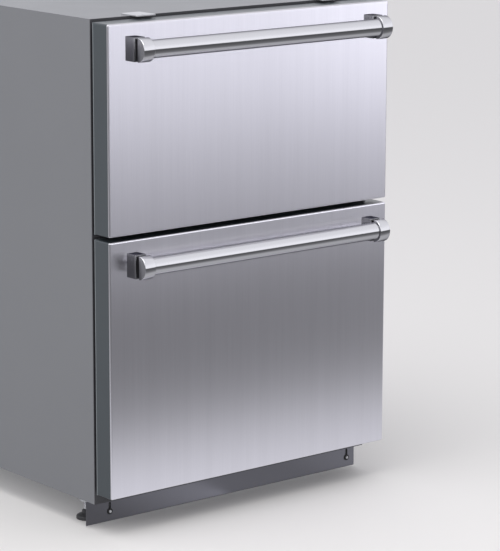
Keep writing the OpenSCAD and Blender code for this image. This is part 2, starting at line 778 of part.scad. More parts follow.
// Fan shroud plate, with the motor held behind it by three arms
module condenser_fan_motor() {
    shroud_t = 2;
    opening_d = condenser_fan_d + 8;
    motor_l = 36;
    motor_y = -condenser_fan_t / 2 - 4;
    shaft_l = condenser_fan_t + 8;
    arm_w = 8;
    arm_t = 3;
    arm_y = motor_y - motor_l + 2;
    arm_reach = opening_d / 2 + 6;
    shroud_top = bay_z - 12;
    color(black_plastic) {
        difference() {
            block([condenser_left, shroud_y, base_z], [condenser_right, shroud_y + shroud_t, shroud_top]);
            translate([condenser_x, shroud_y - eps, condenser_fan_z]) rotate([-90, 0, 0])
                cylinder(h = shroud_t + 2 * eps, d = opening_d);
        }
        translate([condenser_x, condenser_fan_y, condenser_fan_z]) {
            translate([0, motor_y, 0]) rotate([90, 0, 0]) cylinder(h = motor_l, d = motor_d);
            translate([0, motor_y + shaft_l - 1, 0]) rotate([90, 0, 0]) cylinder(h = shaft_l, d = shaft_d);
            for (a = [90, 210, 330]) rotate([0, a, 0]) {
                translate([motor_d / 2 - arm_w, arm_y, -arm_w / 2])
                    cube([arm_reach - motor_d / 2 + arm_w, arm_t, arm_w]);
                translate([arm_reach - arm_t, arm_y, -arm_w / 2])
                    cube([arm_t, shroud_y - condenser_fan_y - arm_y, arm_w]);
            }
        }
    }
}

module condenser_fan_blade() {
    color(white_plastic) translate([condenser_x, condenser_fan_y, condenser_fan_z])
        fan(condenser_fan_d, condenser_hub_d, condenser_fan_t, 5, shaft_d);
}

tray_h = 26;

// Condensate tray that sits on the warm compressor, under the drain spout
module drip_tray() {
    tray_w = 200;
    tray_d = 168;
    wall = 2;
    z = pot_z + pot_h;
    color(black_plastic) translate([-pot_x, bay_y + 4 + tray_d / 2, z]) difference() {
        linear_extrude(tray_h) round_rect(tray_w, tray_d, 14);
        translate([0, 0, wall]) linear_extrude(tray_h) round_rect(tray_w - 2 * wall, tray_d - 2 * wall, 12);
    }
}

coil_left = condenser_left - coil_overhang;
capillary_d = 3;

// Discharge and suction lines, and the liquid line with its filter-drier and capillary
module refrigerant_lines() {
    liquid_d = 5;
    stub_x = -pot_x + pot_d / 2 + port_reach;
    stub_y = pot_y + port_y;
    front_row = condenser_y - condenser_row_gap / 2;
    back_row = condenser_y + condenser_row_gap / 2;
    riser_x = stub_x + 22;
    low_z = base_z + 9;
    drier_x = inlet_x;
    drier_y = bay_y + 30;
    drier_z = base_z + 70;
    drier_l = 62;
    taper = 10;
    coil_end = -evaporator_w / 2 - coil_overhang;
    first_z = evaporator_z + evaporator_pitch / 2;
    last_z = first_z + (evaporator_passes - 1) * evaporator_pitch;
    suction_d = pipe_d - 1;
    suction_up = suction_x + 3;
    capillary_up = suction_x - 4.5;
    color(copper) {
        // Discharge, from the compressor to the condenser's front row
        pipe([[stub_x, stub_y, pot_z + discharge_rise], [riser_x, stub_y, pot_z + discharge_rise],
              [riser_x, front_row, condenser_z], [coil_left, front_row, condenser_z]], liquid_d);
        // Liquid line, from the condenser's back row to the filter-drier
        pipe([[coil_left, back_row, condenser_z], [coil_left - 10, back_row, condenser_z],
              [coil_left - 10, back_row, low_z], [coil_left - 10, drier_y, low_z],
              [drier_x, drier_y, low_z], [drier_x, drier_y, drier_z + 1]], liquid_d);
        translate([drier_x, drier_y, drier_z]) {
            cylinder(h = taper, d1 = liquid_d + 1, d2 = 18);
            translate([0, 0, taper]) cylinder(h = drier_l, d = 18);
            translate([0, 0, taper + drier_l]) cylinder(h = taper, d1 = 18, d2 = liquid_d + 1);
        }
        // Capillary, up the sleeve to the evaporator's last pass
        pipe([[drier_x, drier_y, drier_z + 2 * taper + drier_l - 1], [drier_x, drier_y, bay_z - 14],
              [capillary_up, suction_y, bay_z - 14], [capillary_up, suction_y, first_z - 38],
              [coil_end - 18, evaporator_y, first_z - 38], [coil_end - 18, evaporator_y, last_z],
              [coil_end, evaporator_y, last_z]], capillary_d);
        // Suction, from the evaporator's first pass down the sleeve to the compressor
        pipe([[coil_end, evaporator_y, first_z], [coil_end - 9, evaporator_y, first_z],
              [coil_end - 9, evaporator_y, first_z - 26], [suction_up, suction_y, first_z - 26],
              [suction_up, suction_y, pot_z + suction_rise], [suction_up, stub_y, pot_z + suction_rise],
              [stub_x, stub_y, pot_z + suction_rise]], suction_d);
    }
}

inlet_y = back_y - 6;
inlet_z = base_z + 40;
socket_w = 28;
socket_h = 22;
socket_d = 20;

// Mains inlet: a plate on the base pan with a socket for a detachable lead
module power_inlet() {
    plate_h = 70;
    plate_t = 2;
    wall = 3;
    pin_w = 2;
    pin_h = 4;
    pin_l = 17;
    color(black_plastic) translate([inlet_x, inlet_y, inlet_z]) {
        difference() {
            union() {
                block([-inlet_plate_w / 2, -plate_t, base_z - inlet_z],
                      [inlet_plate_w / 2, 0, base_z - inlet_z + plate_h]);
                block([-socket_w / 2 - wall, -socket_d - wall, -socket_h / 2 - wall],
                      [socket_w / 2 + wall, wall, socket_h / 2 + wall]);
            }
            block([-socket_w / 2, -socket_d, -socket_h / 2], [socket_w / 2, wall + eps, socket_h / 2]);
        }
        for (p = [[-7, -2], [7, -2], [0, 4]]) translate([p[0], -socket_d, p[1]])
            block([-pin_w / 2, -wall / 2, -pin_h / 2], [pin_w / 2, pin_l, pin_h / 2]);
    }
}

// ---- Evaporator ----

evaporator_pitch = 24;
evaporator_z = hump_z + evaporator_rise;
evaporator_y = cover_y + evaporator_d / 2 + 2;

module evaporator_coil() {
    height = evaporator_passes * evaporator_pitch;
    depth = 34;
    end_t = 1.5;
    module plate(t, reach) rotate([90, 0, 90]) linear_extrude(t, center = true) difference() {
        translate([-depth / 2, -evaporator_pitch / 2]) square([depth + reach, height]);
        for (i = [0 : evaporator_passes - 1]) translate([0, i * evaporator_pitch]) circle(d = pipe_d + 0.3);
    }
    translate([0, evaporator_y, evaporator_z + evaporator_pitch / 2]) {
        color(copper) serpentine(evaporator_passes, evaporator_w + 2 * coil_overhang, evaporator_pitch, pipe_d);
        color(fin_metal) for (i = [0 : evaporator_fins - 1])
            translate([((i + 0.5) / evaporator_fins - 0.5) * evaporator_w, 0, 0]) plate(fin_t, 0);
        color(galvanised) for (s = [-1, 1]) translate([s * (evaporator_w + coil_overhang) / 2, 0, 0])
            plate(end_t, inner_back - evaporator_y - depth / 2);
    }
}

evaporator_fan_z = evaporator_z + evaporator_passes * evaporator_pitch + evaporator_fan_d / 2 + 8;
evaporator_fan_y = cover_y + evaporator_fan_t;

cover_t = 2;

// Wall in front of the coil: a fan mouth with a raised ring, return slots below
module evaporator_cover() {
    mouth_d = evaporator_fan_d + 6;
    ring_t = 4;
    ring_w = 8;
    cover_z = hump_z + 20;
    returns = 11;
    return_pitch = 36;
    return_w = 8;
    return_h = 50;
    return_rise = 40;
    color(white_plastic) difference() {
        union() {
            block([-inner_half, cover_y, cover_z], [inner_half, cover_y + cover_t, ceiling_z]);
            translate([0, cover_y, evaporator_fan_z]) rotate([90, 0, 0])
                cylinder(h = ring_t, d = mouth_d + 2 * ring_w);
        }
        translate([0, cover_y - ring_t - eps, evaporator_fan_z]) rotate([-90, 0, 0])
            cylinder(h = ring_t + cover_t + 2 * eps, d = mouth_d);
        for (i = [0 : returns - 1])
            translate([(i - (returns - 1) / 2) * return_pitch, cover_y + cover_t / 2, cover_z + return_rise])
                rotate([90, 0, 0]) linear_extrude(cover_t + 2 * eps, center = true)
                    round_rect(return_w, return_h, return_w / 2 - 0.1);
    }
}

evaporator_shaft_d = 4;

// Motor on three arms that stand on the back of the cover
module evaporator_fan_motor() {
    motor_l = 20;
    motor_d = 36;
    arm_w = 6;
    arm_t = 3;
    motor_y = evaporator_fan_y + evaporator_fan_t / 2 + 4;
    arm_y = motor_y + 8;
    reach = evaporator_fan_d / 2 + 8;
    shaft_l = evaporator_fan_t + 6;
    color(black_plastic) translate([0, 0, evaporator_fan_z]) {
        translate([0, motor_y + motor_l, 0]) rotate([90, 0, 0]) cylinder(h = motor_l, d = motor_d);
        translate([0, motor_y + 1, 0]) rotate([90, 0, 0]) cylinder(h = shaft_l, d = evaporator_shaft_d);
        for (a = [90, 210, 330]) rotate([0, a, 0]) {
            translate([motor_d / 2 - 4, arm_y, -arm_w / 2]) cube([reach - motor_d / 2 + 4, arm_t, arm_w]);
            translate([reach - arm_t, cover_y + cover_t, -arm_w / 2])
                cube([arm_t, arm_y + arm_t - cover_y - cover_t, arm_w]);
        }
    }
}

module evaporator_fan_blade() {
    color(white_plastic) translate([0, evaporator_fan_y, evaporator_fan_z])
        fan(evaporator_fan_d, evaporator_hub_d, evaporator_fan_t, 5, evaporator_shaft_d);
}

// ---- Controls and light ----

panel_y = shell_y + 12;
button_names = ["colder", "warmer", "light"];
function button_x(i) = (i - 1) * button_pitch + 60;
button_l = 11;
button_z = ceiling_z - panel_h / 2;

module control_panel() {
    window_w = 70;
    window_h = 12;
    window_x = -70;
    bore_l = button_l - button_proud + button_travel + 1;
    color(black_plastic) difference() {
        block([-panel_w / 2, panel_y, ceiling_z - panel_h], [panel_w / 2, panel_y + panel_d, ceiling_z]);
        for (i = [0 : len(button_names) - 1])
            translate([button_x(i), panel_y - eps, button_z]) rotate([-90, 0, 0])
                cylinder(h = bore_l + eps, d = button_d + 4 * pin_clear);
        block([window_x - window_w / 2, panel_y - eps, button_z - window_h / 2],
              [window_x + window_w / 2, panel_y + 1, button_z + window_h / 2]);
    }
}

module button(i) {
    color(white_plastic) translate([button_x(i), panel_y - button_proud, button_z]) rotate([-90, 0, 0])
        rotate_extrude() polygon([
            [0, 0], [button_d / 2 - 0.6, 0], [button_d / 2, 0.6], [button_d / 2, button_l], [0, button_l]]);
}

module colder_button() button(0);
module warmer_button() button(1);
module light_button() button(2);

module light_lens() {
    lens_l = 300;
    lens_w = 20;
    lens_h = 6;
    y = panel_y + panel_d + 30;
    color([0.95, 0.95, 0.9]) intersection() {
        block([-lens_l / 2, y - lens_w / 2, ceiling_z - lens_h], [lens_l / 2, y + lens_w / 2, ceiling_z]);
        translate([-lens_l / 2, y, ceiling_z - lens_h + lens_w * 0.9]) rotate([0, 90, 0])
            cylinder(h = lens_l, r = lens_w * 0.9);
    }
}

// Magnet switches on the right wall, one above each drawer box
module drawer_sensors() {
    sensor_t = 6;
    sensor_d = 22;
    sensor_h = 20;
    setback = 8;
    color(white_plastic) for (top = [ceiling_z - 12, mullion_z - mullion_h / 2 - 6])
        block([inner_half - sensor_t, shell_y + setback, top - sensor_h],
              [inner_half, shell_y + setback + sensor_d, top]);
}

// ---- Drawer fronts ----

function gasket_lo(upper) = [gasket_side_inset - half_w,
    upper ? upper_z0 + gasket_edge_inset : lower_z0 + gasket_bottom_inset];
function gasket_hi(upper) = [half_w - gasket_side_inset,
    upper ? upper_z1 - gasket_top_inset : lower_z1 - gasket_edge_inset];
plug_gap = 4;
function plug_lo(upper) = gasket_lo(upper) + (gasket_w + plug_gap) * [1, 1];
function plug_hi(upper) = gasket_hi(upper) - (gasket_w + plug_gap) * [1, 1];

skin_inner_r = max(skin_r - skin_t, 0.2);

// Folded steel pan, open at the back
module front_skin(z0, z1) {
    depth = front_t - pan_t;
    color(steel) translate([0, face_y, 0]) difference() {
        front_block(front_w, z0, z1, depth, skin_r);
        translate([0, skin_t, 0])
            front_block(front_w - 2 * skin_t, z0 + skin_t, z1 - skin_t, depth, skin_inner_r);
    }
}

// Moulded back of a front, with a raised plug inside the gasket
module front_pan(upper) {
    z0 = upper ? upper_z0 : lower_z0;
    z1 = upper ? upper_z1 : lower_z1;
    lo = plug_lo(upper);
    hi = plug_hi(upper);
    color(rubber_grey) difference() {
        union() {
            block([-front_w / 2, pan_y - pan_t, z0], [front_w / 2, pan_y, z1]);
            block([lo[0], pan_y - eps, lo[1]], [hi[0], frame_y, hi[1]]);
        }
        block([lo[0] + pan_t, pan_y - pan_t - eps, lo[1] + pan_t],
              [hi[0] - pan_t, frame_y - pan_t, hi[1] - pan_t]);
    }
}

module front_foam(upper) {
    z0 = upper ? upper_z0 : lower_z0;
    z1 = upper ? upper_z1 : lower_z1;
    lo = plug_lo(upper) + pan_t * [1, 1];
    hi = plug_hi(upper) - pan_t * [1, 1];
    color(foam_yellow) {
        translate([0, face_y + skin_t, 0])
            front_block(front_w - 2 * skin_t, z0 + skin_t, z1 - skin_t, front_t - pan_t - skin_t, skin_inner_r);
        block([lo[0], pan_y - pan_t - eps, lo[1]], [hi[0], frame_y - pan_t, hi[1]]);
    }
}

// Magnetic gasket: a flat foot on the front, a thin waist and a bulb that meets the cabinet
module gasket(upper) {
    lo = gasket_lo(upper);
    hi = gasket_hi(upper);
    waist_w = gasket_bulb_w * 0.55;
    foot_y = pan_y + gasket_t * 0.25;
    bulb_y = pan_y + gasket_t * 0.45;
    side = (gasket_w - gasket_bulb_w) / 2 * [1, 1];
    waist_side = (gasket_w - waist_w) / 2 * [1, 1];
    color(rubber_grey) {
        ring(lo, hi, gasket_w, pan_y, foot_y);
        ring(lo + waist_side, hi - waist_side, waist_w, foot_y, bulb_y);
        ring(lo + side, hi - side, gasket_bulb_w, bulb_y, frame_y - seat_gap);
    }
}

// ---- Handles ----

handle_end = front_w / 2 - handle_inset;
cap_back = post_d + neck_d;
function handle_z(upper) = (upper ? upper_z1 : lower_z1) - handle_drop;

module tube_seat_cut(s, z) {
    translate([s * (handle_end - post_w), tube_y, z]) rotate([0, s * 90, 0])
        translate([0, 0, -eps]) cylinder(h = tube_seat + eps, d = tube_d + 2 * seat_clear);
}

// Square posts on the front's face, each with a narrower neck
module handle_posts(z) {
    color(steel) for (s = [-1, 1]) difference() {
        translate([s * (handle_end - post_w / 2), face_y, z]) rotate([90, 0, 0]) {
            linear_extrude(post_d) round_rect(post_w, post_h, 1);
            linear_extrude(cap_back) round_rect(post_w - 2 * neck_inset, post_h - 2 * neck_inset, 1);
        }
        tube_seat_cut(s, z);
    }
}

// Half-round end caps that hold the tube
module handle_caps(z) {
    r = cap_r;
    c = cap_chamfer;
    color(steel) for (s = [-1, 1]) difference() {
        intersection() {
            translate([s * (handle_end - post_w / 2), tube_y, z]) rotate([0, 90, 0])
                rotate_extrude() polygon([
                    [0, -post_w / 2], [r - c, -post_w / 2], [r, c - post_w / 2],
                    [r, post_w / 2 - c], [r - c, post_w / 2], [0, post_w / 2]]);
            block([-front_w / 2, face_y - handle_reach - eps, z - r - eps],
                  [front_w / 2, face_y - cap_back, z + r + eps]);
        }
        tube_seat_cut(s, z);
    }
}

module handle_tube(z) {
    length = 2 * (handle_end - post_w + tube_seat);
    color(polished) translate([0, tube_y, z]) rotate([0, 90, 0]) difference() {
        cylinder(h = length, d = tube_d, center = true);
        cylinder(h = length + 2 * eps, d = tube_d - 2 * tube_wall, center = true);
    }
}

// ---- Drawer boxes ----

// Open steel box with rounded corners, a rolled rim and pressed floor ribs
module drawer_box(z, h, slide_l) {
    l = slide_l - box_edge;
    w = 2 * box_half;
    rib_pitch = (w - 4 * box_r) / rib_count;
    color(steel) translate([0, frame_y + l / 2, z]) {
        difference() {
            union() {
                linear_extrude(h) round_rect(w, l, box_r);
                translate([0, rim_w / 2, h - rim_h]) linear_extrude(rim_h)
                    round_rect(w + 2 * rim_w, l - rim_w, box_r);
            }
            translate([0, 0, box_wall]) linear_extrude(h)
                round_rect(w - 2 * box_wall, l - 2 * box_wall, box_r - box_wall);
        }
        for (i = [0 : rib_count - 1])
            translate([(i - (rib_count - 1) / 2) * rib_pitch, 0, box_wall - 0.3])
                linear_extrude(2) round_rect(10, l - 4 * box_r, 4.9);
    }
}

// ---- Slides: three members with two rows of caged balls at each edge ----

function slide_z(upper) = (upper ? upper_box_z : lower_box_z) + slide_rise;
function slide_l(upper) = upper ? upper_slide_l : lower_slide_l;
function travel(upper) = upper ? upper_travel : lower_travel;
slide_margin = 8;

// Extrudes a (u, v) section along y on both sides of the cabinet
module both_slides(y, length, z) {
    for (s = [-1, 1]) translate([s * inner_half, y + length, z]) mirror([s > 0 ? 1 : 0, 0, 0])
        rotate([90, 0, 0]) linear_extrude(length) children();
}

// Channel section with grooves at the given ball centres, each [u, v]
module channel(u0, u1, web_u, v, lip, balls) {
    difference() {
        union() {
            translate([web_u, -v]) square([web_t, 2 * v]);
            for (s = [-1, 1]) translate([u0, s > 0 ? v - lip : -v]) square([u1 - u0, lip]);
        }
        for (b = balls, s = [-1, 1]) translate([b[0], s * b[1]]) circle(ball_r + ball_clear);
    }
}

// Screw holes through a member's web
module web_holes(y, length, z) {
    for (s = [-1, 1], f = [0.08, 0.5, 0.92])
        translate([s * (inner_half - slide_t / 2), y + f * length, z]) rotate([0, 90, 0])
            cylinder(h = slide_t + 2 * eps, r = screw_hole_r, center = true);
}

module cabinet_slides(upper) {
    color(galvanised) difference() {
        both_slides(slide_y, slide_l(upper) - pan_t, slide_z(upper))
            channel(0, u_ball1 + ball_r + 1.5, 0, v_outer, lip_t, [[u_ball1, v_ball1]]);
        web_holes(slide_y, slide_l(upper) - pan_t, slide_z(upper));
    }
}

module middle_slides(upper) {
    length = slide_l(upper) - 2 * slide_margin;
    color(galvanised) difference() {
        both_slides(slide_y + slide_margin, length, slide_z(upper))
            channel(u_middle, u_ball2 + ball_r + 0.8, u_middle, v_middle, middle_lip_t,
                    [[u_ball1, v_ball1], [u_ball2, v_ball2]]);
        web_holes(slide_y + slide_margin, length, slide_z(upper));
    }
}

// Inner members, each with a front tab that is screwed to the drawer front
module drawer_slides(upper) {
    tab_h = slide_h * 0.75;
    length = slide_l(upper) - slide_margin;
    color(galvanised) {
        difference() {
            both_slides(slide_y, length, slide_z(upper))
                channel(u_inner, slide_t, slide_t - web_t, v_inner, lip_t, [[u_ball2, v_ball2]]);
            web_holes(slide_y, length, slide_z(upper));
        }
        for (s = [-1, 1]) translate([s * (inner_half - slide_t / 2 - 1), 0, slide_z(upper)])
            block([-slide_t / 2 + 1, frame_y, -tab_h / 2], [slide_t / 2 - 1, slide_y, tab_h / 2]);
    }
}

// Ball cages. A cage moves half as far as the members on its two sides move apart.
module cages(u, u1, u_ball, v_ball, y, length, z) {
    color(brass_yellow) {
        both_slides(y, length, z) {
            translate([u, -v_ball - cage_t / 2]) square([cage_t, 2 * v_ball + cage_t]);
            for (s = [-1, 1]) translate([u, s * v_ball - cage_t / 2]) square([u1 - u, cage_t]);
        }
        for (s = [-1, 1], e = [-1, 1], i = [0 : ball_count - 1])
            translate([s * (inner_half - u_ball), y + (i + 0.5) * length / ball_count, z + e * v_ball])
                sphere(r = ball_r, $fn = 32);
    }
}

brass_yellow = [0.80, 0.66, 0.30];
function cage_l(upper) = slide_l(upper) - travel(upper) / 2 - 4 * slide_margin;

module outer_cages(upper) {
    cages(u_cage1, u_ball1 + ball_r + 0.4, u_ball1, v_ball1,
          slide_y + travel(upper) / 4 + 2 * slide_margin, cage_l(upper), slide_z(upper));
}

module inner_cages(upper) {
    cages(u_cage2, u_ball2 + ball_r + 0.4, u_ball2, v_ball2,
          slide_y + travel(upper) / 4 + 2 * slide_margin, cage_l(upper), slide_z(upper));
}

// ---- Upper drawer ----

module upper_front_skin() front_skin(upper_z0, upper_z1);
module upper_front_pan() front_pan(true);
module upper_front_foam() front_foam(true);
module upper_gasket() gasket(true);
module upper_handle_posts() handle_posts(handle_z(true));
module upper_handle_caps() handle_caps(handle_z(true));
module upper_handle_tube() handle_tube(handle_z(true));
module upper_drawer_box() drawer_box(upper_box_z, upper_box_h, upper_slide_l);
module upper_drawer_slides() drawer_slides(true);
module upper_middle_slides() middle_slides(true);
module upper_outer_cages() outer_cages(true);
module upper_inner_cages() inner_cages(true);
module upper_cabinet_slides() cabinet_slides(true);

// ---- Lower drawer ----

module lower_front_skin() front_skin(lower_z0, lower_z1);
module lower_front_pan() front_pan(false);
module lower_front_foam() front_foam(false);
module lower_gasket() gasket(false);
module lower_handle_posts() handle_posts(handle_z(false));
module lower_handle_caps() handle_caps(handle_z(false));
module lower_handle_tube() handle_tube(handle_z(false));
module lower_drawer_box() drawer_box(lower_box_z, lower_box_h, lower_slide_l);
module lower_drawer_slides() drawer_slides(false);
module lower_middle_slides() middle_slides(false);
module lower_outer_cages() outer_cages(false);
module lower_inner_cages() inner_cages(false);
module lower_cabinet_slides() cabinet_slides(false);

// ---- Assembly ----

side_panel_left();
side_panel_right();
top_panel();
rear_panel();
base_pan();
foam_insulation();
liner();
face_frame();
centre_mullion();
worktop_brackets();
kick_screws();
compressor();
compressor_grommets();
condenser_coil();
condenser_fan_motor();
drip_tray();
refrigerant_lines();
evaporator_coil();
evaporator_cover();
evaporator_fan_motor();
control_panel();
light_lens();
drawer_sensors();
power_inlet();
upper_cabinet_slides();
lower_cabinet_slides();
kick_plate();
leg_front_left();
leg_front_right();
leg_rear_left();
leg_rear_right();
condenser_fan_blade();
evaporator_fan_blade();
colder_button();
warmer_button();
light_button();
upper_front_skin();
upper_front_pan();
upper_front_foam();
upper_gasket();
upper_handle_posts();
upper_handle_caps();
upper_handle_tube();
upper_drawer_box();
upper_drawer_slides();
upper_middle_slides();
upper_outer_cages();
upper_inner_cages();
lower_front_skin();
lower_front_pan();
lower_front_foam();
lower_gasket();
lower_handle_posts();
lower_handle_caps();
lower_handle_tube();
lower_drawer_box();
lower_drawer_slides();
lower_middle_slides();
lower_outer_cages();
lower_inner_cages();
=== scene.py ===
"""An undercounter refrigerator with two drawers, dressed over its CAD frame."""
import json
import math

import bmesh
import bpy
from mathutils import Matrix, Vector

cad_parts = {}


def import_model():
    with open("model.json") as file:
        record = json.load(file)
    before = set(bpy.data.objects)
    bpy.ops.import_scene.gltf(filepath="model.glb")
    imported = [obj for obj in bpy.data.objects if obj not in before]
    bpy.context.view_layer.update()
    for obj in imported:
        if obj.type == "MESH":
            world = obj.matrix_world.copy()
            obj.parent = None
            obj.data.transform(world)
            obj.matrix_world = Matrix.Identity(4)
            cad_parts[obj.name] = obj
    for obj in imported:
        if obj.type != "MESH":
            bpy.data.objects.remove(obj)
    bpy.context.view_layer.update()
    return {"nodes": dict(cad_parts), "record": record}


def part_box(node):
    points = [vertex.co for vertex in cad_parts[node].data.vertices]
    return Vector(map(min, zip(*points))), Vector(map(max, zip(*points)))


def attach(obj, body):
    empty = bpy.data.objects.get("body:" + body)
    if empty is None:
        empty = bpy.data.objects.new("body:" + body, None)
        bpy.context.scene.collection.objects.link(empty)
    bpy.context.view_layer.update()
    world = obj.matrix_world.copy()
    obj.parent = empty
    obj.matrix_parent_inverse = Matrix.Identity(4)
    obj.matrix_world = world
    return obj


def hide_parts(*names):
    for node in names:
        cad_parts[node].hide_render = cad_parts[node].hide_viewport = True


MM = 0.001
X, Y, Z = range(3)
NEAR = 0.01 * MM
FRONT_BEND = 3 * MM        # bend radius round a drawer front's face
SKIN = 1.2 * MM            # sheet of the drawer fronts
POST_WIDTH, POST_DEPTH = 22 * MM, 24 * MM
NECK_DEPTH, NECK_INSET = 8.5 * MM, 2.5 * MM
HANDLE_EASE = 1 * MM       # rounding of the posts' and caps' edges
CAP_RADIUS = 20 * MM
TUBE_WALL = 1.5 * MM
# What metal mirrors, as (place in metres or height of view, level)
CARD_Y, CARD_TOP, CARD_GLOW = -1.5, 1.4, 1.83
CARD_TONES = [(0, 0.05), (0.08, 0.02), (0.18, 0.27), (0.26, 0.25), (0.33, 0.31), (0.4, 0.4), (0.54, 0.58),
              (0.7, 0.68), (1.4, 0.5)]
CARD_ACROSS = [(-0.2, 0.3), (0.22, 0.5), (0.38, 1.5), (0.56, 1.35), (0.7, 0.7), (0.84, 0.55), (1.0, 0.45),
               (1.16, 0.4), (1.26, 0.7), (1.4, 3.4), (1.6, 2.1), (1.9, 0.7), (2.4, 0.6)]
FLOOR_CARD_TONES = [(-1.5, 0.1), (-1.15, 0.04), (-0.9, 0.06), (-0.72, 0.26), (-0.5, 0.45), (-0.28, 0.45)]
FLOOR_CARD_ACROSS = [(-0.3, 1.1), (0.3, 0.95), (0.7, 0.9), (0.95, 0.8), (1.1, 1), (1.3, 1.4)]
FOOT_CARD_TONES = [(-0.45, 1), (-0.2, 1)]
FOOT_CARD_ACROSS = [(-0.25, 0), (-0.2, 0.12), (-0.14, 0.34), (-0.05, 0.7), (0.0, 0.9), (0.02, 0.3), (0.2, 0.28),
                    (0.28, 0.5), (0.35, 0.6)]
FLOOR_TONES = [(-2.6, 0.1), (-1.7, 0.13), (-1.15, 0.16), (-0.9, 0.25), (-0.7, 0.42), (-0.3, 0.5), (1.0, 0.6)]
SKY_TONES = [(0, 0.3), (0.02, 1.0), (0.3, 1.0), (0.6, 0.85), (1, 0.8)]
CAMERA_AT, CAMERA_LENS = (-2.7913, -3.7016, 1.3536), 172.46
CAMERA_YAW, CAMERA_PITCH, CAMERA_ROLL = math.radians(39.108), math.radians(12.051), math.radians(0.157)

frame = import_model()
nodes = frame["nodes"]


# ---- Modelling helpers ----

AXES = {"X": (0, math.pi / 2, 0), "-X": (0, -math.pi / 2, 0), "Y": (-math.pi / 2, 0, 0), "-Y": (math.pi / 2, 0, 0),
        "Z": (0, 0, 0)}


def mm(*points):
    return [tuple(n * MM for n in point) for point in points]


def deselect():
    if bpy.context.object and bpy.context.object.mode != "OBJECT":
        bpy.ops.object.mode_set(mode="OBJECT")
    bpy.ops.object.select_all(action="DESELECT")


def only(obj):
    """Makes one object the active and only selected one"""
    deselect()
    obj.select_set(True)
    bpy.context.view_layer.objects.active = obj


def start(name):
    """Names the primitive just added and puts its place into its mesh"""
    obj = bpy.context.object
    obj.name = obj.data.name = name
    bpy.ops.object.transform_apply(location=True, rotation=True, scale=True)
    return obj


def add_block(name, lo, hi):
    deselect()
    lo, hi = Vector(lo), Vector(hi)
    bpy.ops.mesh.primitive_cube_add(size=1, location=(lo + hi) / 2, scale=hi - lo)
    return start(name)


def add_round(name, centre, radius, length, axis, sides, fill="NGON"):
    """A cylinder about a line through its centre"""
    deselect()
    bpy.ops.mesh.primitive_cylinder_add(vertices=sides, radius=radius, depth=length,
                                        end_fill_type=fill, location=centre, rotation=AXES[axis])
    return start(name)


def pick(obj, kind, test):
    """In edit mode, selects the faces, edges or vertices that pass a test"""
    only(obj)
    bpy.ops.object.mode_set(mode="EDIT")
    bpy.ops.mesh.select_mode(type=kind)
    bpy.ops.mesh.select_all(action="DESELECT")
    mesh = bmesh.from_edit_mesh(obj.data)
    for part in {"FACE": mesh.faces, "EDGE": mesh.edges, "VERT": mesh.verts}[kind]:
        if test(part):
            part.select_set(True)
    bmesh.update_edit_mesh(obj.data)


def done():
    bpy.ops.object.mode_set(mode="OBJECT")


def sharp(edge):
    return len(edge.link_faces) == 2 and edge.calc_face_angle() > math.radians(30)


def runs(edge, axis, least=1 * MM):
    """Whether an edge runs along an axis for more than a length"""
    return abs(edge.verts[0].co[axis] - edge.verts[1].co[axis]) > least


def past(edge, axis, place):
    """Whether both ends of an edge lie past a place on an axis"""
    return all(v.co[axis] > place for v in edge.verts)


def lies_at(edge, axis, place):
    return all(abs(v.co[axis] - place) < NEAR for v in edge.verts)


def round_edges(obj, width, steps=3, test=sharp):
    pick(obj, "EDGE", test)
    bpy.ops.mesh.bevel(offset=width, segments=steps, profile=0.5, affect="EDGES")
    done()


def push(obj, test, inset, move):
    """Insets the faces that pass a test and draws them out"""
    pick(obj, "FACE", test)
    bpy.ops.mesh.inset(thickness=inset)
    bpy.ops.mesh.extrude_region_move(TRANSFORM_OT_translate={"value": move})
    done()


def open_side(obj, test):
    """Takes away the faces that pass a test"""
    pick(obj, "FACE", test)
    bpy.ops.mesh.delete(type="FACE")
    done()


def cut(obj, y, drop=False):
    """Cuts a piece across y; drop takes away what lies behind the cut and closes it"""
    only(obj)
    bpy.ops.object.mode_set(mode="EDIT")
    bpy.ops.mesh.select_all(action="SELECT")
    bpy.ops.mesh.bisect(plane_co=(0, y, 0), plane_no=(0, 1, 0), use_fill=drop, clear_outer=drop)
    done()


def cut_strips(obj, lo, hi, count):
    """Cuts a piece into equal strips along y"""
    for i in range(1, count):
        cut(obj, lo.y + (hi.y - lo.y) * i / count)


def give(obj, kind, **settings):
    """Adds a modifier with these settings and applies it"""
    only(obj)
    modifier = obj.modifiers.new(kind.title(), kind)
    for key, value in settings.items():
        setattr(modifier, key, value)
    bpy.ops.object.modifier_apply(modifier=modifier.name)


def smooth(obj, angle=35):
    only(obj)
    bpy.ops.object.shade_smooth_by_angle(angle=math.radians(angle))


def tidy_normals(obj):
    pick(obj, "VERT", lambda v: True)
    bpy.ops.mesh.remove_doubles(threshold=NEAR)
    bpy.ops.mesh.normals_make_consistent(inside=False)
    done()


def join(name, pieces):
    deselect()
    for piece in pieces:
        piece.select_set(True)
    bpy.context.view_layer.objects.active = pieces[0]
    if len(pieces) > 1:
        bpy.ops.object.join()
    obj = bpy.context.object
    obj.name = obj.data.name = name
    return obj


def copy_to(obj, offset, name):
    """A copy with its own mesh, moved by an offset"""
    only(obj)
    bpy.ops.object.duplicate(linked=False)
    twin = bpy.context.object
    twin.location = Vector(offset)
    bpy.ops.object.transform_apply(location=True, rotation=False, scale=False)
    twin.name = twin.data.name = name
    return twin


def close_holes(obj):
    pick(obj, "EDGE", lambda e: True)
    bpy.ops.mesh.fill_holes(sides=0)
    done()
    tidy_normals(obj)


